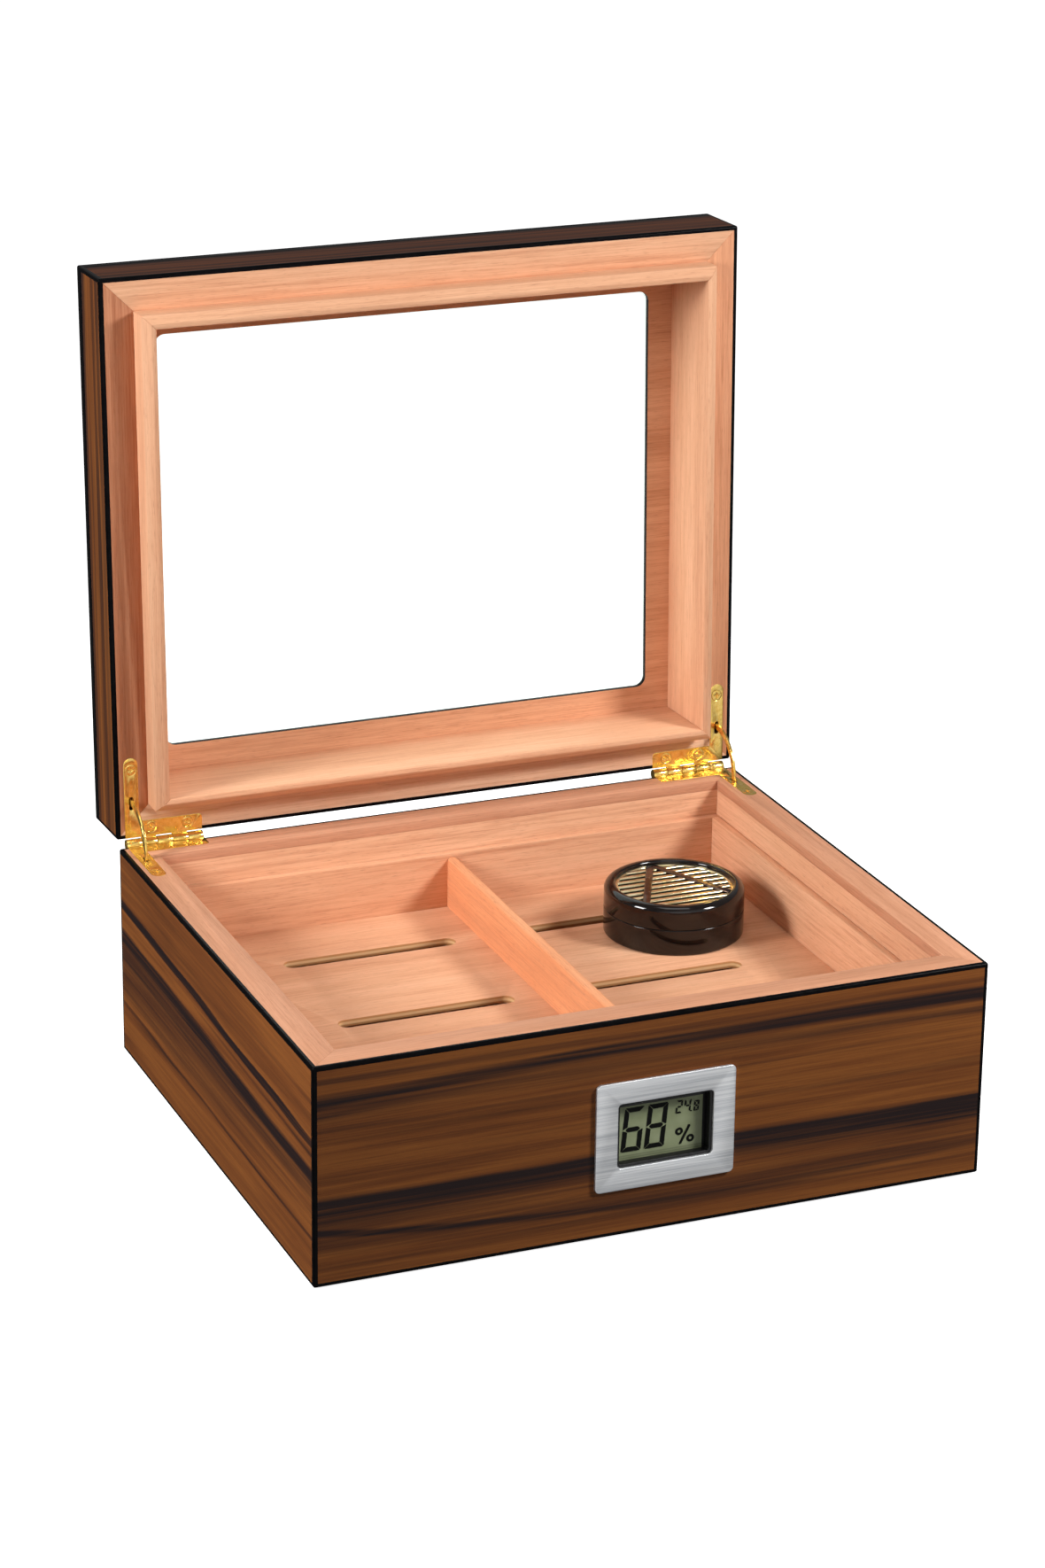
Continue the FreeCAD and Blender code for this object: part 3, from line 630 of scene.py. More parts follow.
def pick(piece: Mesh, chosen: Callable[[bmesh.types.BMFace], bool]) -> None:
    """Selects the faces that a test chooses, in edit mode.

    Args:
        piece: the object, in edit mode.
        chosen: the test of a face.
    """
    bpy.ops.mesh.select_all(action="DESELECT")
    shape = bmesh.from_edit_mesh(piece.data)
    for face in [f for f in shape.faces if chosen(f)]:
        face.select_set(True)
    bmesh.update_edit_mesh(piece.data)


def outward(piece: Mesh) -> None:
    """Merges doubles, then turns every normal outwards.

    Args:
        piece: the object.
    """
    alone(piece)
    bpy.ops.object.mode_set(mode="EDIT")
    bpy.ops.mesh.select_all(action="SELECT")
    bpy.ops.mesh.remove_doubles(threshold=1e-6)
    bpy.ops.mesh.normals_make_consistent(inside=False)
    bpy.ops.object.mode_set(mode="OBJECT")


def shade(piece: Mesh, angle: float = 32.0) -> None:
    """Shades smooth below an angle.

    Args:
        piece: the object.
        angle: degrees.
    """
    alone(piece)
    bpy.ops.object.shade_smooth_by_angle(angle=math.radians(angle))


def settle(piece: Mesh) -> None:
    """Puts a piece's place into its mesh.

    Args:
        piece: the object.
    """
    alone(piece)
    bpy.ops.object.transform_apply(location=True, rotation=True, scale=True)


def dress(piece: Mesh, finish: Finish) -> None:
    """Gives an object one material.

    Args:
        piece: the object.
        finish: the material.
    """
    if not piece.data.materials:
        piece.data.materials.append(finish)
    for i in range(len(piece.material_slots)):
        piece.material_slots[i].material = finish


def enter(piece: Mesh, name: str, body: str, finish: Finish,
          stands_for: tuple[str, ...] = ()) -> Mesh:
    """Names, dresses and hands over a new piece.

    Args:
        piece: the object.
        name: its name.
        body: the body that it moves with.
        finish: its material.
        stands_for: the CAD nodes that it replaces.

    Returns:
        The piece.
    """
    piece.name = piece.data.name = name
    piece.data.materials.clear()
    dress(piece, finish)
    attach(piece, body)
    if stands_for:
        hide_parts(*stands_for)
    log.info("%s: %d faces on %s", name, len(piece.data.polygons), body)
    return piece


def eased(node: str, radius: float, segments: int = 2) -> Mesh:
    """Copies a CAD node and rounds its sharp edges.

    Args:
        node: the node's name.
        radius: rounding, in millimetres.
        segments: steps of the rounding.

    Returns:
        The new object, at the origin.
    """
    source = frame["nodes"][node]
    copy = bpy.data.objects.new(node + "_eased", source.data.copy())
    bpy.context.scene.collection.objects.link(copy)
    alone(copy)
    bpy.ops.mesh.customdata_custom_splitnormals_clear()
    bpy.ops.object.mode_set(mode="EDIT")
    bpy.ops.mesh.select_all(action="SELECT")
    bpy.ops.mesh.remove_doubles(threshold=2e-6)
    bpy.ops.mesh.dissolve_limited(angle_limit=math.radians(0.4))
    bpy.ops.object.mode_set(mode="OBJECT")
    apply_modifier(copy, "BEVEL", width=radius * MM, segments=segments, limit_method="ANGLE",
                   angle_limit=math.radians(SHARP_EDGE), use_clamp_overlap=False, harden_normals=False,
                   miter_outer="MITER_ARC")
    shade(copy)
    return copy


def soften(corners: list[tuple[float, float, float]], steps: int = 5) -> list[tuple[float, float]]:
    """Rounds the corners of a profile.

    Args:
        corners: radius from the axis, height and rounding of each corner.
        steps: steps of each rounding.

    Returns:
        Points of the rounded profile.
    """
    points: list[tuple[float, float]] = []
    for i, (r, z, rounding) in enumerate(corners):
        here = Vector((r, z))
        if not rounding:
            points.append((r, z))
            continue
        before = (Vector(corners[i - 1][:2]) - here).normalized()
        after = (Vector(corners[(i + 1) % len(corners)][:2]) - here).normalized()
        half = before.angle(after) / 2
        middle = here + (before + after).normalized() * rounding / math.sin(half)
        first = here + before * rounding / math.tan(half) - middle
        last = here + after * rounding / math.tan(half) - middle
        for k in range(steps + 1):
            arm = first.slerp(last, k / steps, first).normalized() * rounding
            points.append(tuple(middle + arm))
    return points


def turned(points: list[tuple[float, float]], centre: Vector, closed: bool) -> Mesh:
    """Spins a profile round an upright axis.

    Args:
        points: radius and height above the centre.
        centre: foot of the axis, in metres.
        closed: joins the last point to the first, for a ring.

    Returns:
        The new object.
    """
    shape = bpy.data.meshes.new("turned")
    rim = [(centre.x + r * MM, centre.y, centre.z + z * MM) for r, z in points]
    ends = [(i, i + 1) for i in range(len(rim) - 1)] + ([(len(rim) - 1, 0)] if closed else [])
    shape.from_pydata(rim, ends, [])
    piece = bpy.data.objects.new("turned", shape)
    bpy.context.scene.collection.objects.link(piece)
    alone(piece)
    bpy.ops.object.mode_set(mode="EDIT")
    bpy.ops.mesh.select_all(action="SELECT")
    bpy.ops.mesh.spin(steps=TURN_STEPS, angle=math.tau, center=centre, axis=(0.0, 0.0, 1.0))
    bpy.ops.object.mode_set(mode="OBJECT")
    outward(piece)
    shade(piece, 40.0)
    return piece


def block(low: Vector, high: Vector, rounding: float, segments: int) -> Mesh:
    """A rounded block between two corners.

    Args:
        low: lowest corner, in metres.
        high: highest corner, in metres.
        rounding: rounding of its edges, in millimetres.
        segments: steps of the rounding.

    Returns:
        The new object.
    """
    bpy.ops.object.select_all(action="DESELECT")
    bpy.ops.mesh.primitive_cube_add(size=1.0, location=(low + high) / 2, scale=high - low)
    piece = bpy.context.object
    settle(piece)
    bpy.ops.object.mode_set(mode="EDIT")
    bpy.ops.mesh.select_all(action="SELECT")
    bpy.ops.mesh.bevel(offset=rounding * MM, segments=segments, affect="EDGES")
    bpy.ops.object.mode_set(mode="OBJECT")
    return piece


def joined(pieces: list[Mesh]) -> Mesh:
    """Joins objects into the first.

    Args:
        pieces: the objects.

    Returns:
        The one object left.
    """
    bpy.ops.object.select_all(action="DESELECT")
    for piece in pieces:
        piece.select_set(True)
    bpy.context.view_layer.objects.active = pieces[0]
    bpy.ops.object.join()
    return pieces[0]


# ---- sub-assemblies ---------------------------------------------------------------------------
@dataclass(frozen=True)
class Board:
    """A cedar board: its node, its grain, where its pattern starts, and how far its edges are eased.

    No ease leaves the part's own edges.
    """

    node: str
    grain: Way
    shift: float
    ease: float = 0.25
    tint: Tint = Tint()
    figure: float = 0.42
    plies: bool = False

    def fit(self, place: Place) -> None:
        """Dresses the board in cedar, and stands an eased one in for its node.

        Args:
            place: base or lid.
        """
        cedar = Cedar(self.node, place, self.grain, self.shift, self.tint, self.figure, self.plies).make()
        if not self.ease:
            cover((self.node,), cedar)
            return
        body = frame["nodes"][self.node]["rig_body"]
        enter(eased(self.node, self.ease), f"{self.node}_board", body, cedar, (self.node,))


@dataclass(frozen=True)
class Wall:
    """A veneered wall: its node, its grain, where its pattern starts, its streaks and its flitch."""

    node: str
    grain: Way
    shift: float
    streaks: tuple[Streak, ...]
    flitch: Flitch = Flitch()

    def fit(self, place: Place) -> None:
        """Lays the veneer on the wall.

        Args:
            place: base or lid.
        """
        veneer = StreakedVeneer(self.node, place, self.grain, self.shift, self.streaks, flitch=self.flitch)
        cover((self.node,), veneer.make())


def cover(nodes: tuple[str, ...], finish: Finish) -> None:
    """Gives CAD nodes a finish and leaves their shape.

    Args:
        nodes: the nodes.
        finish: the material.
    """
    for node in nodes:
        dress(frame["nodes"][node], finish)
        log.info("%s: %s", node, finish.name)


BASE_FRONT_STREAKS = (
    Streak(73.8, 0.006, -0.00013, 1.2, 2.6, (0.75, 0.75, 1.0)),
    Streak(70.0, 0.004, -0.0001, 3.0, 6.0, (0.5, 0.35, 0.2)),
    Streak(29.5, -0.004, 0.0, 2.6, 5.0, (0.5, 0.5, 0.55)),
    Streak(18.5, 0.002, 0.0, 2.5, 5.0, (0.5, 0.3, 0.4)),
    Streak(78.3, -0.004, 0.0, 0.4, 1.6, (0.7, 0.35, 0.3)),
    Streak(68.0, 0.004, -0.0001, 0.3, 1.8, (0.45, 0.3, 0.6)),
    Streak(60.0, 0.002, 0.0, 0.2, 1.4, (0.4, 0.4, 0.2)),
    Streak(31.4, -0.006, 0.00002, 0.9, 2.4, (0.95, 0.95, 1.0)),
    Streak(28.2, -0.003, 0.00002, 0.4, 2.2, (0.7, 0.85, 0.9)),
    Streak(25.6, 0.004, 0.0, 0.9, 2.4, (0.6, 0.5, 0.75)),
    Streak(12.0, -0.027, 0.00038, 0.5, 1.5, (0.95, 0.7, 0.2)),
    Streak(12.0, 0.0, 0.0, 2.0, 4.0, (0.1, 0.55, 0.25)),
    Streak(47.0, 0.006, 0.0, 0.2, 1.6, (0.1, 0.3, 0.45)),
)
BASE_SIDE_STREAKS = (
    Streak(59.2, 0.029, 0.0, 1.4, 0.9, (0.9, 0.96, 0.98)),
    Streak(54.8, 0.034, 0.0, 0.2, 1.2, (0.6, 0.35, 0.1)),
    Streak(46.4, 0.034, 0.0, 1.5, 2.6, (0.95, 0.9, 0.85)),
    Streak(42.5, 0.02, 0.0, 3.5, 5.0, (0.45, 0.72, 0.72)),
    Streak(31.0, 0.006, 0.0, 4.0, 7.0, (0.2, 0.45, 0.55)),
    Streak(20.2, 0.011, 0.0, 0.25, 0.9, (0.7, 0.7, 0.6)),
    Streak(72.0, 0.01, 0.0, 0.2, 1.6, (0.3, 0.25, 0.3)),
)
LID_WALL_STREAKS = (
    Streak(106.0, 0.004, 0.0, 1.0, 2.5, (0.85, 0.7, 0.75)),
    Streak(101.5, -0.004, 0.0, 0.2, 1.6, (0.5, 0.6, 0.5)),
    Streak(94.0, 0.003, 0.0, 0.8, 2.2, (0.6, 0.8, 0.55)),
    Streak(98.0, -0.006, 0.0, 0.4, 2.0, (0.3, 0.5, 0.35)),
    Streak(89.0, 0.004, 0.0, 1.0, 2.0, (0.8, 0.6, 0.5)),
)
LID_TOP_STREAKS = (
    Streak(-95.0, 0.004, 0.0, 1.8, 2.4, (0.9, 0.9, 0.8)),
    Streak(-84.0, -0.004, 0.0, 0.5, 2.0, (0.5, 0.6, 0.4)),
    Streak(90.0, 0.006, 0.0, 2.2, 3.0, (0.8, 0.9, 0.9)),
    Streak(98.0, 0.002, 0.0, 0.4, 1.4, (0.5, 0.5, 0.7)),
    Streak(60.0, 0.02, 0.0, 1.5, 3.0, (0.8, 0.5, 0.7)),
    Streak(-20.0, 0.015, 0.0, 2.0, 3.5, (0.9, 0.4, 0.9)),
)
# painted shade: the lid's front edge gets darker tones than the rest of the same walnut veneer, and hardly
# any gloss
PAINTED_SHADE_FLITCH = Flitch("#6b3c22", "#5f341f", "#46291b", "#1f1615", 0.05)
RIM_TINT = Tint("#d8a080", "#c68d6c", "#ab7253")


@dataclass
class Base:
    """The open box: veneered walls, cedar rims and linings, black edging and a felt foot."""

    walls: tuple[Wall, ...] = (
        Wall("base_front_wall", Way.ACROSS, 0.0, BASE_FRONT_STREAKS),
        Wall("base_back_wall", Way.ACROSS, 31.0, BASE_SIDE_STREAKS),
        Wall("base_left_wall", Way.DEEP, 57.0, BASE_SIDE_STREAKS),
        Wall("base_right_wall", Way.DEEP, 83.0, BASE_FRONT_STREAKS),
    )
    boards: tuple[Board, ...] = (
        Board("base_rim_front", Way.ACROSS, 3.0, 0.15, RIM_TINT),
        Board("base_rim_back", Way.ACROSS, 8.0, 0.15, RIM_TINT),
        Board("base_rim_left", Way.DEEP, 13.0, 0.15, RIM_TINT),
        Board("base_rim_right", Way.DEEP, 18.0, 0.15, RIM_TINT),
        Board("base_lining_front", Way.ACROSS, 23.0),
        Board("base_lining_back", Way.ACROSS, 28.0, figure=0.75),
        Board("base_lining_left", Way.DEEP, 33.0),
        Board("base_lining_right", Way.DEEP, 38.0),
        Board("base_lining_bottom", Way.ACROSS, 43.0),
        Board("base_tray_rests", Way.DEEP, 47.0),
    )

    def build(self) -> None:
        """Dresses the walls, edging and foot, and fits the boards."""
        for wall in self.walls:
            wall.fit(Place.BASE)
        cover(("base_edging",), LACQUER.make())
        cover(("base_bottom_panel",), FIBREBOARD.make())
        cover(("base_felt",), FELT.make())
        for board in self.boards:
            board.fit(Place.BASE)


@dataclass
class Lid:
    """The framed glass lid: veneered walls and top, cedar liner and rims, black edging, window glass.

    ledge is the height of the glass's seat on the closed box, in millimetres.
    """

    ledge: float = 109.5
    panel_ease: float = 0.15
    panel_shift: float = 17.0
    underside: Cedar = Cedar("lid_top", Place.LID, Way.ACROSS, 121.0, Tint("#e7ae88", "#d59770", "#b67753"))
    walls: tuple[Wall, ...] = (
        # the front wall's darker tones are painted shade
        Wall("lid_front_wall", Way.ACROSS, 7.0, LID_WALL_STREAKS, PAINTED_SHADE_FLITCH),
        Wall("lid_back_wall", Way.ACROSS, 37.0, LID_WALL_STREAKS),
        Wall("lid_left_wall", Way.DEEP, 59.0, LID_WALL_STREAKS),
        Wall("lid_right_wall", Way.DEEP, 87.0, LID_WALL_STREAKS),
    )
    boards: tuple[Board, ...] = (
        Board("lid_rim_front", Way.ACROSS, 51.0, 0.15, figure=0.8),
        # the back rim's paler tint is painted light on the face that the liner's lip shades when the lid
        # stands open
        Board("lid_rim_back", Way.ACROSS, 56.0, 0.15, Tint("#f3cbaa", "#e6b593", "#cb9471"), 0.8),
        # the left rim's darker, redder tint is partly its own wood and partly painted shade
        Board("lid_rim_left", Way.DEEP, 61.0, 0.15, Tint("#c98c69", "#b97755", "#9b5a3d"), 0.8),
        Board("lid_rim_right", Way.DEEP, 66.0, 0.15, Tint("#e3a67f", "#d0906b", "#b2714d"), 0.8),
        Board("lid_liner_front", Way.ACROSS, 71.0),
        Board("lid_liner_back", Way.ACROSS, 76.0),
        Board("lid_liner_left", Way.DEEP, 81.0),
        Board("lid_liner_right", Way.DEEP, 86.0),
    )

    def build(self) -> None:
        """Dresses the walls, top and glass, and fits the boards."""
        for wall in self.walls:
            wall.fit(Place.LID)
        self.panel()
        cover(("lid_edging",), LACQUER.make())
        cover(("lid_glass",), WindowGlass().make())
        for board in self.boards:
            board.fit(Place.LID)

    def panel(self) -> None:
        """Fits the top panel: veneer outside, cedar inside, and a black line round the window's edge."""
        veneer = StreakedVeneer("lid_top", Place.LID, Way.ACROSS, self.panel_shift, LID_TOP_STREAKS,
                                across=Way.DEEP)
        made = enter(eased("lid_top_panel", self.panel_ease), "lid_top_panel_veneered", "lid",
                     veneer.make(), ("lid_top_panel",))
        made.data.materials.append(self.underside.make())
        made.data.materials.append(LACQUER.make())
        turn, shift = hinge_turn(Place.LID)
        closed = Matrix.Rotation(turn, 3, "X")
        for face in made.data.polygons:
            centre, normal = closed @ (face.center / MM) + shift, closed @ face.normal
            if normal.z < -0.9 and centre.z < self.ledge - 1:
                face.material_index = 1
            elif centre.z < self.ledge and abs(normal.z) < 0.9:
                face.material_index = 2


@dataclass
class Hinges:
    """Two pressed quadrant hinges with their screws, pins and curved stays, and how far each is rounded."""

    leaf_ease: float = 0.16
    stay_ease: float = 0.22
    screw_ease: float = 0.1

    def build(self) -> None:
        """Fits rounded leaves, screws and stays, and dresses the pins."""
        brass = BRASS.make()
        for side in ("left", "right"):
            for leaf in ("base", "lid"):
                node = f"hinge_{leaf}_leaf_{side}"
                enter(eased(node, self.leaf_ease), f"{node}_pressed", leaf, brass, (node,))
            stay = f"stay_{side}"
            enter(eased(stay, self.stay_ease, 3), f"{stay}_curved", stay, brass, (stay,))
        for leaf in ("base", "lid"):
            node = f"hinge_{leaf}_screws"
            enter(eased(node, self.screw_ease), f"{node}_countersunk", leaf, brass, (node,))
        cover(("hinge_pins",), brass)


@dataclass
class Tray:
    """The lift-out tray with its divider and slotted ply floor."""

    boards: tuple[Board, ...] = (
        Board("tray_front", Way.ACROSS, 91.0),
        Board("tray_back", Way.ACROSS, 96.0),
        Board("tray_left", Way.DEEP, 101.0),
        Board("tray_right", Way.DEEP, 106.0, figure=0.85),
        Board("tray_divider", Way.DEEP, 111.0, 0.0, Tint("#eca87b", "#db9367")),
        Board("tray_floor", Way.ACROSS, 116.0, 0.3, figure=0.4, plies=True),
    )

    def build(self) -> None:
        """Fits the boards."""
        for board in self.boards:
            board.fit(Place.BASE)


@dataclass
class Humidifier:
    """A round gloss shell and cap with a polished grille over foam.

    Radii are from its axis, and heights above the tray floor, in millimetres.
    """

    radius: float = 27.4
    split: float = 10.5
    height: float = 20.0
    wall: float = 1.6
    neck: float = 25.5
    neck_rise: float = 3.0
    foot_round: float = 1.2
    edge_round: float = 0.3
    mouth: float = 23.0
    mouth_round: float = 1.0
    crown: float = 2.8
    seat: float = 18.4
    parting: float = 0.15
    clearance: float = 0.05
    ring_out: float = 24.2
    ring_in: float = 21.8
    slats: int = 10
    slat_pitch: float = 4.24
    slat_width: float = 2.0
    slat_thick: float = 0.9
    slat_round: float = 0.42
    grille_thick: float = 1.2
    bar_width: float = 3.0
    bar_angle: float = 26.0
    bar_stand: float = 0.4
    bar_round: float = 0.45
    bar_end: float = 0.8

    def build(self) -> None:
        """Turns the shell and cap, and builds the grille."""
        low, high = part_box("humidifier_shell")
        foot = Vector(((low.x + high.x) / 2, (low.y + high.y) / 2, low.z))
        gloss = GLOSS_BLACK.make()
        inner, lip, soft = self.neck - self.wall, self.split + self.neck_rise, self.edge_round
        shell = [(0.0, 0.0, 0.0), (self.radius, 0.0, self.foot_round), (self.radius, self.split, soft),
                 (self.neck, self.split, 0.0), (self.neck, lip, soft), (inner, lip, soft),
                 (inner, self.wall, 0.0), (0.0, self.wall, 0.0)]
        enter(turned(soften(shell), foot, False), "humidifier_shell_moulded", "humidifier",
              gloss, ("humidifier_shell",))
        bore, base = self.ring_out + self.clearance, self.split + self.parting
        under, skirt = self.seat - self.grille_thick - 2 * soft, self.radius - self.wall
        cap = [(self.radius, base, soft), (self.radius, self.height, self.crown),
               (self.mouth, self.height, self.mouth_round), (self.mouth, self.seat, 0.0),
               (bore, self.seat, 0.0), (bore, under, 0.0), (skirt, under, 0.0), (skirt, base, 0.0)]
        enter(turned(soften(cap, 8), foot, True), "humidifier_cap_moulded", "humidifier_cap",
              gloss, ("humidifier_cap",))
        cover(("humidifier_foam",), FOAM.make())
        enter(self.grille(foot), "humidifier_grille_pressed", "humidifier_cap",
              PALE_GILT.make(), ("humidifier_grille",))
        # the bars' smoky tone is a painted reflection on the grille's own gilt
        enter(self.bars(foot), "humidifier_grille_bars", "humidifier_cap",
              GILT_PAINTED_DARK.make())

    def grille(self, foot: Vector) -> Mesh:
        """The grille's ring and its domed slats.

        Args:
            foot: centre of the humidifier's underside, in metres.

        Returns:
            The grille.
        """
        low, high = self.seat - self.grille_thick, self.seat
        ring = [(self.ring_in, low, 0.2), (self.ring_out, low, 0.2), (self.ring_out, high, 0.2),
                (self.ring_in, high, 0.5)]
        pieces = [turned(soften(ring, 4), foot, True)]
        half = self.slat_width / 2
        for i in range(self.slats):
            y = (i - (self.slats - 1) / 2) * self.slat_pitch
            # each slat runs 0.1 mm or more into the ring
            reach = math.sqrt((self.ring_in + 0.3) ** 2 - (abs(y) - half) ** 2) - 0.2
            pieces.append(block(foot + Vector((-reach, y - half, high - self.slat_thick)) * MM,
                                foot + Vector((reach, y + half, high)) * MM, self.slat_round, 4))
        made = joined(pieces)
        shade(made, 50.0)
        return made

    def bars(self, foot: Vector) -> Mesh:
        """The two raised bars, in a V from the back of the ring.

        Args:
            foot: centre of the humidifier's underside, in metres.

        Returns:
            The bars.
        """
        low, high = self.seat - self.grille_thick, self.seat + self.bar_stand
        length = 2 * self.mouth * math.cos(math.radians(self.bar_angle)) - self.bar_end
        pieces = []
        for sign in (-1, 1):
            bar = block(Vector((-self.bar_width / 2, -length, low)) * MM,
                        Vector((self.bar_width / 2, -self.bar_end, high)) * MM, self.bar_round, 4)
            bar.data.transform(Matrix.Rotation(math.radians(sign * self.bar_angle), 4, "Z"))
            bar.data.transform(Matrix.Translation(foot + Vector((0.0, self.mouth, 0.0)) * MM))
            pieces.append(bar)
        made = joined(pieces)
        shade(made, 50.0)
        return made


SEGMENTS = {"2": "abged", "4": "fgbc", "6": "afgedc", "8": "abcdefg"}


@dataclass(frozen=True)
class Figures:
    """A row of seven-segment figures: its digits, and their sizes in millimetres.

    left and foot place the first figure, pitch is the step to the next, and dot_after is the digit that a
    point follows, or 0. last is the last figure's size as a share of the others.
    """

    digits: str
    left: float
    foot: float
    width: float
    height: float
    stroke: float
    pitch: float
    dot_after: int = 0
    last: float = 1.0


@dataclass
class Hygrometer:
    """The digital hygrometer: brushed plate, black housing and a display that reads 68 % and 24.8."""

    humidity: Figures = Figures("68", -13.1, 31.5, 7.7, 17.0, 1.75, 9.1)
    warmth: Figures = Figures("248", 8.0, 43.3, 2.5, 5.0, 0.66, 3.25, 2, 0.8)
    plate_ease: float = 0.28
    housing_ease: float = 0.25
    slant: float = 0.09
    gap: float = 0.2
    thick: float = 0.12
    proud: float = 0.01
    corner: float = 0.9
    middle: float = 0.46
    tip_lean: float = 0.42
    tip_width: float = 0.16
    dot: float = 0.56
    dot_back: float = 0.35
    dot_room: float = 0.5
    dot_round: float = 0.04
    percent_x: float = 7.7
    percent_z: float = 31.0
    percent_h: float = 7.4

    def build(self) -> None:
        """Fits the plate and housing, dresses what is inside and draws the reading."""
        enter(eased("hygro_bezel", self.plate_ease, 3), "hygro_bezel_plate", "hygrometer",
              BrushedSteel().make(), ("hygro_bezel",))
        black = SATIN_BLACK.make()
        enter(eased("hygro_housing", self.housing_ease, 3), "hygro_housing_moulded", "hygrometer",
              black, ("hygro_housing",))
        cover(("hygro_back_cover", "hygro_door"), black)
        cover(("hygro_lcd",), DisplayGlass().make())
        cover(("hygro_board",), CIRCUIT_BOARD.make())
        cover(("hygro_sensor",), CERAMIC.make())
        cover(("hygro_cell",), CELL_CAN.make())
        cover(("hygro_contacts",), SPRING_STEEL.make())
        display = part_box("hygro_lcd")[0].y
        enter(self.reading(display), "hygro_reading_segments", "hygrometer",
              DARK_SEGMENTS.make())

    def bar(self, start_at: Vector, end_at: Vector, stroke: float, lean: float,
            tips: tuple[float, ...]) -> Mesh:
        """One display segment with mitred ends, lying on the XZ plane.

        Args:
            start_at: start of its middle line, in millimetres.
            end_at: its end.
            stroke: its width.
            lean: 0 for pointed ends, or 1 or -1 for ends cut from that side only.
            tips: length of each cut end, in strokes.

        Returns:
            The segment.
        """
        run = end_at - start_at
        length = run.length - stroke
        bpy.ops.object.select_all(action="DESELECT")
        bpy.ops.mesh.primitive_cube_add(size=1.0, scale=(length * MM, self.thick * MM, stroke * MM))
        piece = bpy.context.object
        settle(piece)
        for sign, tip in zip((-1, 1), tips):
            bpy.ops.object.mode_set(mode="EDIT")
            pick(piece, lambda face: face.normal.x * sign > 0.9)
            bpy.ops.mesh.extrude_region_move(TRANSFORM_OT_translate={
                "value": (sign * stroke * tip * MM, 0.0, lean * stroke * self.tip_lean * MM)})
            bpy.ops.transform.resize(value=(1.0, 1.0, self.tip_width))
            bpy.ops.object.mode_set(mode="OBJECT")
        piece.data.transform(Matrix.Rotation(-math.atan2(run.z, run.x), 4, "Y"))
        piece.data.transform(Matrix.Translation((start_at + end_at) / 2 * MM))
        return piece

    def digit(self, lit: str, x: float, z: float, w: float, h: float, stroke: float) -> list[Mesh]:
        """The lit segments of one figure.

        Args:
            lit: the segments, a to g, clockwise from the top with g in the middle.
            x: its left side.
            z: its foot.
            w: its width.
            h: its height.
            stroke: width of a segment.

        Returns:
            The segments.
        """
        e = stroke / 2
        left, right, low, mid, top = e, w - e, e, h / 2, h - e
        out, halfway = self.corner, self.middle
        places = {
            "a": (left, top, right, top, 1, out, out),
            "b": (right, mid, right, top, -1, halfway, out),
            "c": (right, low, right, mid, -1, out, halfway),
            "d": (left, low, right, low, -1, out, out),
            "e": (left, low, left, mid, 1, out, halfway),
            "f": (left, mid, left, top, 1, halfway, out),
            "g": (left, mid, right, mid, 0, halfway, halfway),
        }
        slanted = Matrix(((1, 0, self.slant, x * MM), (0, 1, 0, 0), (0, 0, 1, z * MM), (0, 0, 0, 1)))
        made = []
        for name in lit:
            x0, z0, x1, z1, lean, *tips = places[name]
            ends = [Vector((x0, 0.0, z0)), Vector((x1, 0.0, z1))]
            along = (ends[1] - ends[0]).normalized() * (self.gap * min(1.0, stroke))
            piece = self.bar(ends[0] + along, ends[1] - along, stroke, lean, tuple(tips))
            piece.data.transform(slanted)
            made.append(piece)
        return made

    def percent(self) -> list[Mesh]:
        """The percent sign: two flattened rings and a slanting bar.

        Returns:
            The rings and the bar.
        """
        made = []
        h = self.percent_h
        tube = 0.065 * h
        for dx, dz in ((0.26, 0.7), (0.86, 0.26)):
            centre = Vector((self.percent_x + dx * h, 0.0, self.percent_z + dz * h)) * MM
            bpy.ops.object.select_all(action="DESELECT")
            bpy.ops.mesh.primitive_torus_add(
                major_radius=h * 0.14 * MM, minor_radius=tube * MM, major_segments=32, minor_segments=8,
                rotation=(math.pi / 2, 0.0, 0.0))
            ring = bpy.context.object
            settle(ring)
            ring.data.transform(Matrix.Diagonal((1.0, self.thick / (2 * tube), 1.0, 1.0)))
            ring.data.transform(Matrix.Translation(centre))
            made.append(ring)
        foot = Vector((self.percent_x + 0.3 * h, 0.0, self.percent_z))
        head = foot + Vector((0.52 * h, 0.0, h))
        made.append(self.bar(foot, head, 2 * tube, 0.0, (self.middle, self.middle)))
        return made

    def point(self, x: float, z: float) -> Mesh:
        """The decimal point.

        Args:
            x: its middle, in millimetres.
            z: its foot.

        Returns:
            The point.
        """
        middle, half = Vector((x, 0.0, z)) * MM, self.dot / 2
        return block(middle - Vector((half, self.thick / 2, 0.0)) * MM,
                     middle + Vector((half, self.thick / 2, self.dot)) * MM, self.dot_round, 1)

    def reading(self, display: float) -> Mesh:
        """The whole reading, laid on the display.

        Args:
            display: y of the display's front, in metres.

        Returns:
            The joined segments.
        """
        parts: list[Mesh] = []
        for row in (self.humidity, self.warmth):
            x = row.left
            for place, figure in enumerate(row.digits, 1):
                size = row.last if place == len(row.digits) else 1.0
                parts += self.digit(SEGMENTS[figure], x, row.foot, row.width * size, row.height * size,
                                    row.stroke)
                x += row.pitch
                if place == row.dot_after:
                    parts.append(self.point(x - self.dot_back, row.foot))
                    x += self.dot_room
        parts += self.percent()
        made = joined(parts)
        made.data.transform(Matrix.Translation((0.0, display - (self.thick / 2 + self.proud) * MM, 0.0)))
        outward(made)
        return made


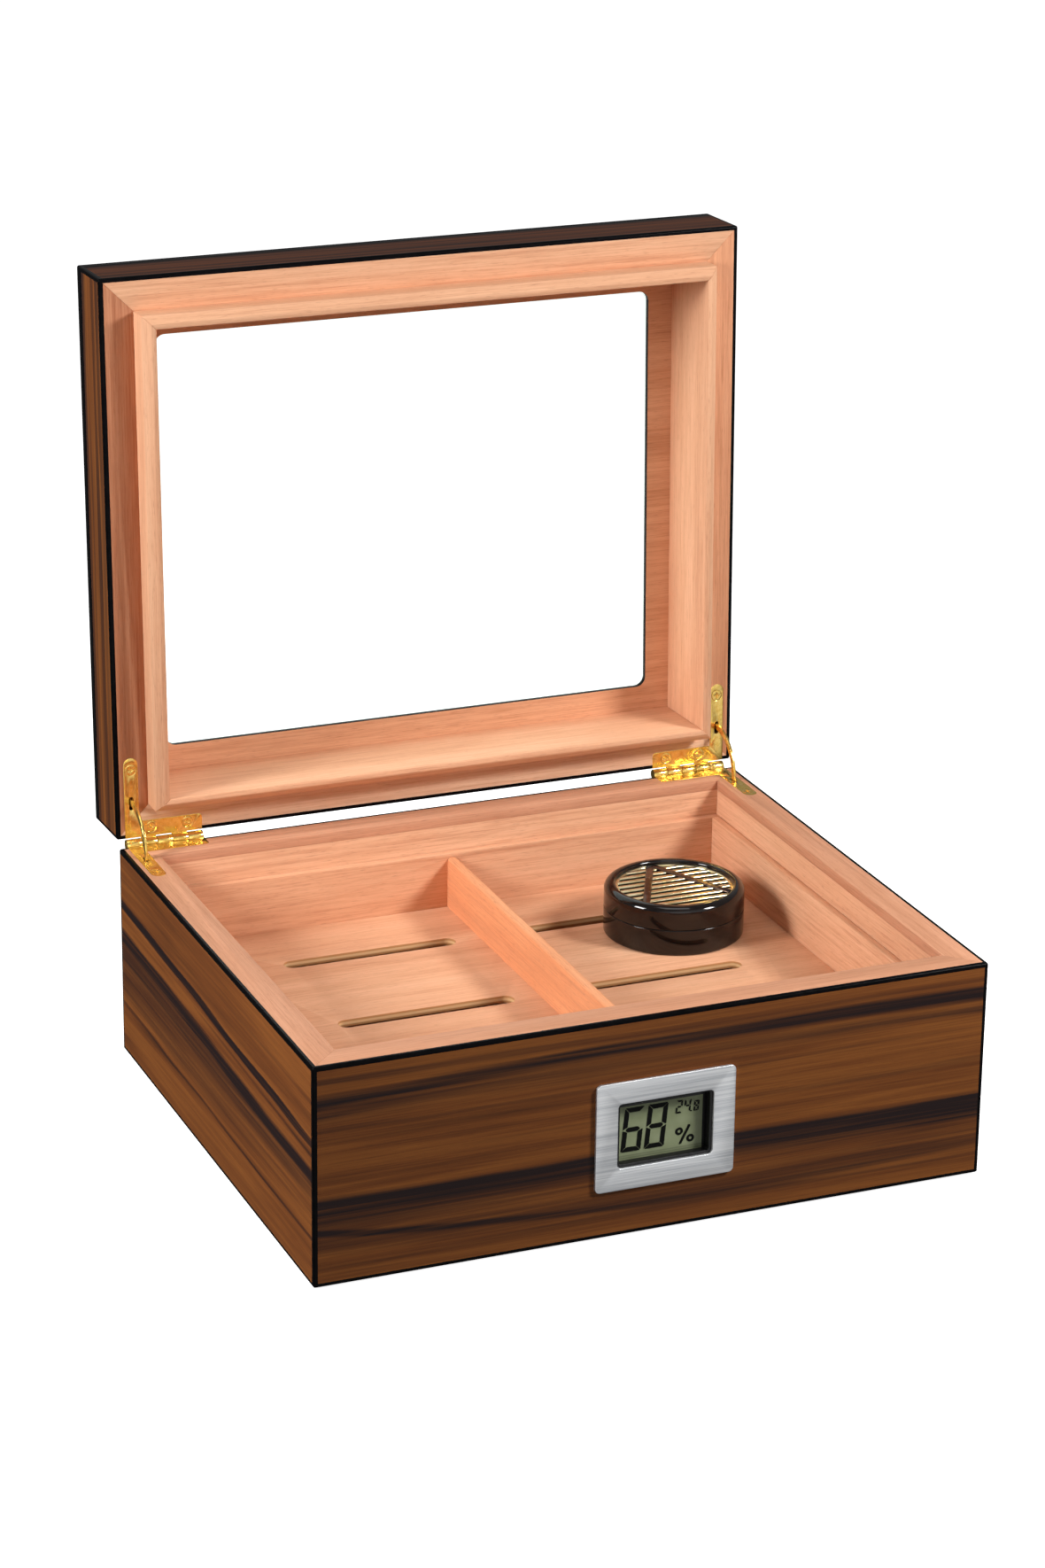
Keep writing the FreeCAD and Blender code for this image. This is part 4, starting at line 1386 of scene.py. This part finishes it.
# ---- studio -----------------------------------------------------------------------------------
def bearing(azimuth: float, elevation: float) -> Vector:
    """The way from the object to a light or the camera.

    Args:
        azimuth: degrees from the front, positive to the right.
        elevation: degrees above the floor.

    Returns:
        A unit vector.
    """
    a, e = math.radians(azimuth), math.radians(elevation)
    return Vector((math.sin(a) * math.cos(e), -math.cos(a) * math.cos(e), math.sin(e)))


@dataclass(frozen=True)
class Softbox:
    """A rectangular studio light that faces the object: angles in degrees, metres and watts."""

    name: str
    azimuth: float
    elevation: float
    distance: float
    width: float
    height: float
    power: float

    def build(self, aim: Vector) -> None:
        """Hangs the light.

        Args:
            aim: the point that it faces, in metres.
        """
        away = bearing(self.azimuth, self.elevation)
        lamp = bpy.data.lights.new(self.name, "AREA")
        lamp.shape = "RECTANGLE"
        lamp.size, lamp.size_y = self.width, self.height
        lamp.energy = self.power
        held = bpy.data.objects.new(self.name, lamp)
        bpy.context.scene.collection.objects.link(held)
        held.location = aim + away * self.distance
        held.rotation_euler = (-away).to_track_quat("-Z", "Y").to_euler()


@dataclass
class Studio:
    """Pale floor, soft lights and the camera.

    The distance, the target and the lens are in millimetres. ambient is the tent's light, and mirrored,
    paper and wall are what mirrors see of the dim room, the lit paper in front and the grey wall behind.
    """

    azimuth: float = -22.714
    elevation: float = 20.51
    roll: float = 0.763
    distance: float = 1573.4
    target: tuple[float, float, float] = (-8.16, 0.0, 133.38)
    lens: float = 98.08
    ambient: float = 0.14
    mirrored: float = 0.16
    paper: float = 0.75
    wall: float = 0.24
    backdrop: float = 1.15
    floor_size: float = 14.0
    floor_glow: float = 0.9
    aim: tuple[float, float, float] = (0.0, 0.0, 0.09)
    lights: tuple[Softbox, ...] = (
        Softbox("key_left", -85.0, 26.0, 0.9, 0.26, 0.26, 7.1),
        Softbox("key_right", 49.0, 36.0, 0.85, 0.18, 0.18, 6.3),
        Softbox("overhead", -10.0, 82.0, 2.4, 1.2, 1.0, 7.5),
        Softbox("front_fill", -12.0, 8.0, 2.4, 1.4, 0.6, 3.6),
    )

    def build(self) -> None:
        """Builds the floor, world, lights and camera."""
        scene = bpy.context.scene
        scene.view_settings.view_transform = "Standard"
        scene.view_settings.look = "None"
        self.floor()
        self.surround(scene)
        for light in self.lights:
            light.build(Vector(self.aim))
        self.camera(scene)

    def floor(self) -> None:
        """A wide white paper floor, which glows a little so that its far end stays white."""
        bpy.ops.object.select_all(action="DESELECT")
        bpy.ops.mesh.primitive_plane_add(size=self.floor_size, location=(0.0, 0.0, 0.0))
        sheet = bpy.context.object
        sheet.name = "studio_floor"
        # coated paper: flat white with no highlight
        made, tree = start("paper_matt_white")
        shader = add(tree, "ShaderNodeBsdfPrincipled", {
            "Base Color": "#fbfbfb", "Roughness": 0.9, "Specular IOR Level": 0.0,
            "Emission Color": "#ffffff", "Emission Strength": self.floor_glow})
        add(tree, "ShaderNodeOutputMaterial", {"Surface": shader})
        sheet.visible_glossy = sheet.visible_diffuse = False
        dress(sheet, made)

    def surround(self, scene: bpy.types.Scene) -> None:
        """A white surround that is dimmer in mirrors and below the horizon.

        Args:
            scene: the scene.
        """
        world = bpy.data.worlds.new("studio_tent")
        scene.world = world
        world.use_nodes = True
        tree = world.node_tree
        tree.nodes.clear()
        ray = add(tree, "ShaderNodeLightPath").outputs
        look = add(tree, "ShaderNodeTexCoord").outputs["Generated"]
        way = add(tree, "ShaderNodeSeparateXYZ", {0: look}).outputs
        rise = add(tree, "ShaderNodeMapRange", {0: way[2], 1: -0.25, 2: 0.3, 3: 0.3, 4: 1.0})
        even = add(tree, "ShaderNodeMath", {0: rise, 1: self.ambient}, operation="MULTIPLY")
        # mirrors see the lit paper in front of the box, a grey wall behind it, and a dim room elsewhere
        room = add(tree, "ShaderNodeMapRange", {0: way[2], 1: -0.2, 2: 0.1, 3: 0.1, 4: self.mirrored})
        front = add(tree, "ShaderNodeMapRange", {0: way[1], 1: -0.55, 2: -0.9, 3: room, 4: self.paper})
        back = add(tree, "ShaderNodeMapRange", {0: way[2], 1: 0.0, 2: 0.2, 3: 0.05, 4: self.wall})
        mirrors = add(tree, "ShaderNodeMapRange", {0: way[1], 1: 0.5, 2: 0.9, 3: front, 4: back})
        level = add(tree, "ShaderNodeMix", {0: ray["Is Glossy Ray"], 2: even, 3: mirrors})
        glow = add(tree, "ShaderNodeBackground", {"Color": "#ffffff", "Strength": level})
        seen = add(tree, "ShaderNodeBackground", {"Color": "#ffffff", "Strength": self.backdrop})
        direct = add(tree, "ShaderNodeMath", {0: ray["Is Camera Ray"], 1: ray["Is Transmission Ray"]},
                     operation="MAXIMUM")
        both = add(tree, "ShaderNodeMixShader", {0: direct, 1: glow, 2: seen})
        add(tree, "ShaderNodeOutputWorld", {"Surface": both})

    def camera(self, scene: bpy.types.Scene) -> None:
        """The camera, in front and to the left, a little above.

        Args:
            scene: the scene.
        """
        back, r = bearing(self.azimuth, self.elevation), math.radians(self.roll)
        side = Vector((0.0, 0.0, 1.0)).cross(back).normalized()
        up = back.cross(side)
        right = side * math.cos(r) + up * math.sin(r)
        rise = up * math.cos(r) - side * math.sin(r)
        lens = bpy.data.cameras.new("studio_camera")
        lens.lens = self.lens
        lens.sensor_width = 36.0
        lens.clip_start, lens.clip_end = 0.05, 50.0
        held = bpy.data.objects.new("studio_camera", lens)
        scene.collection.objects.link(held)
        turn = Matrix((right, rise, back)).transposed().to_4x4()
        held.matrix_world = Matrix.Translation((Vector(self.target) + back * self.distance) * MM) @ turn
        scene.camera = held


def main() -> None:
    """Builds the studio and every sub-assembly in order."""
    logging.basicConfig(level=logging.INFO, format="%(name)s %(message)s")
    for assembly in (Studio(), Base(), Lid(), Hinges(), Tray(), Humidifier(), Hygrometer()):
        log.info("building %s", type(assembly).__name__)
        assembly.build()


if __name__ == "__main__":
    main()
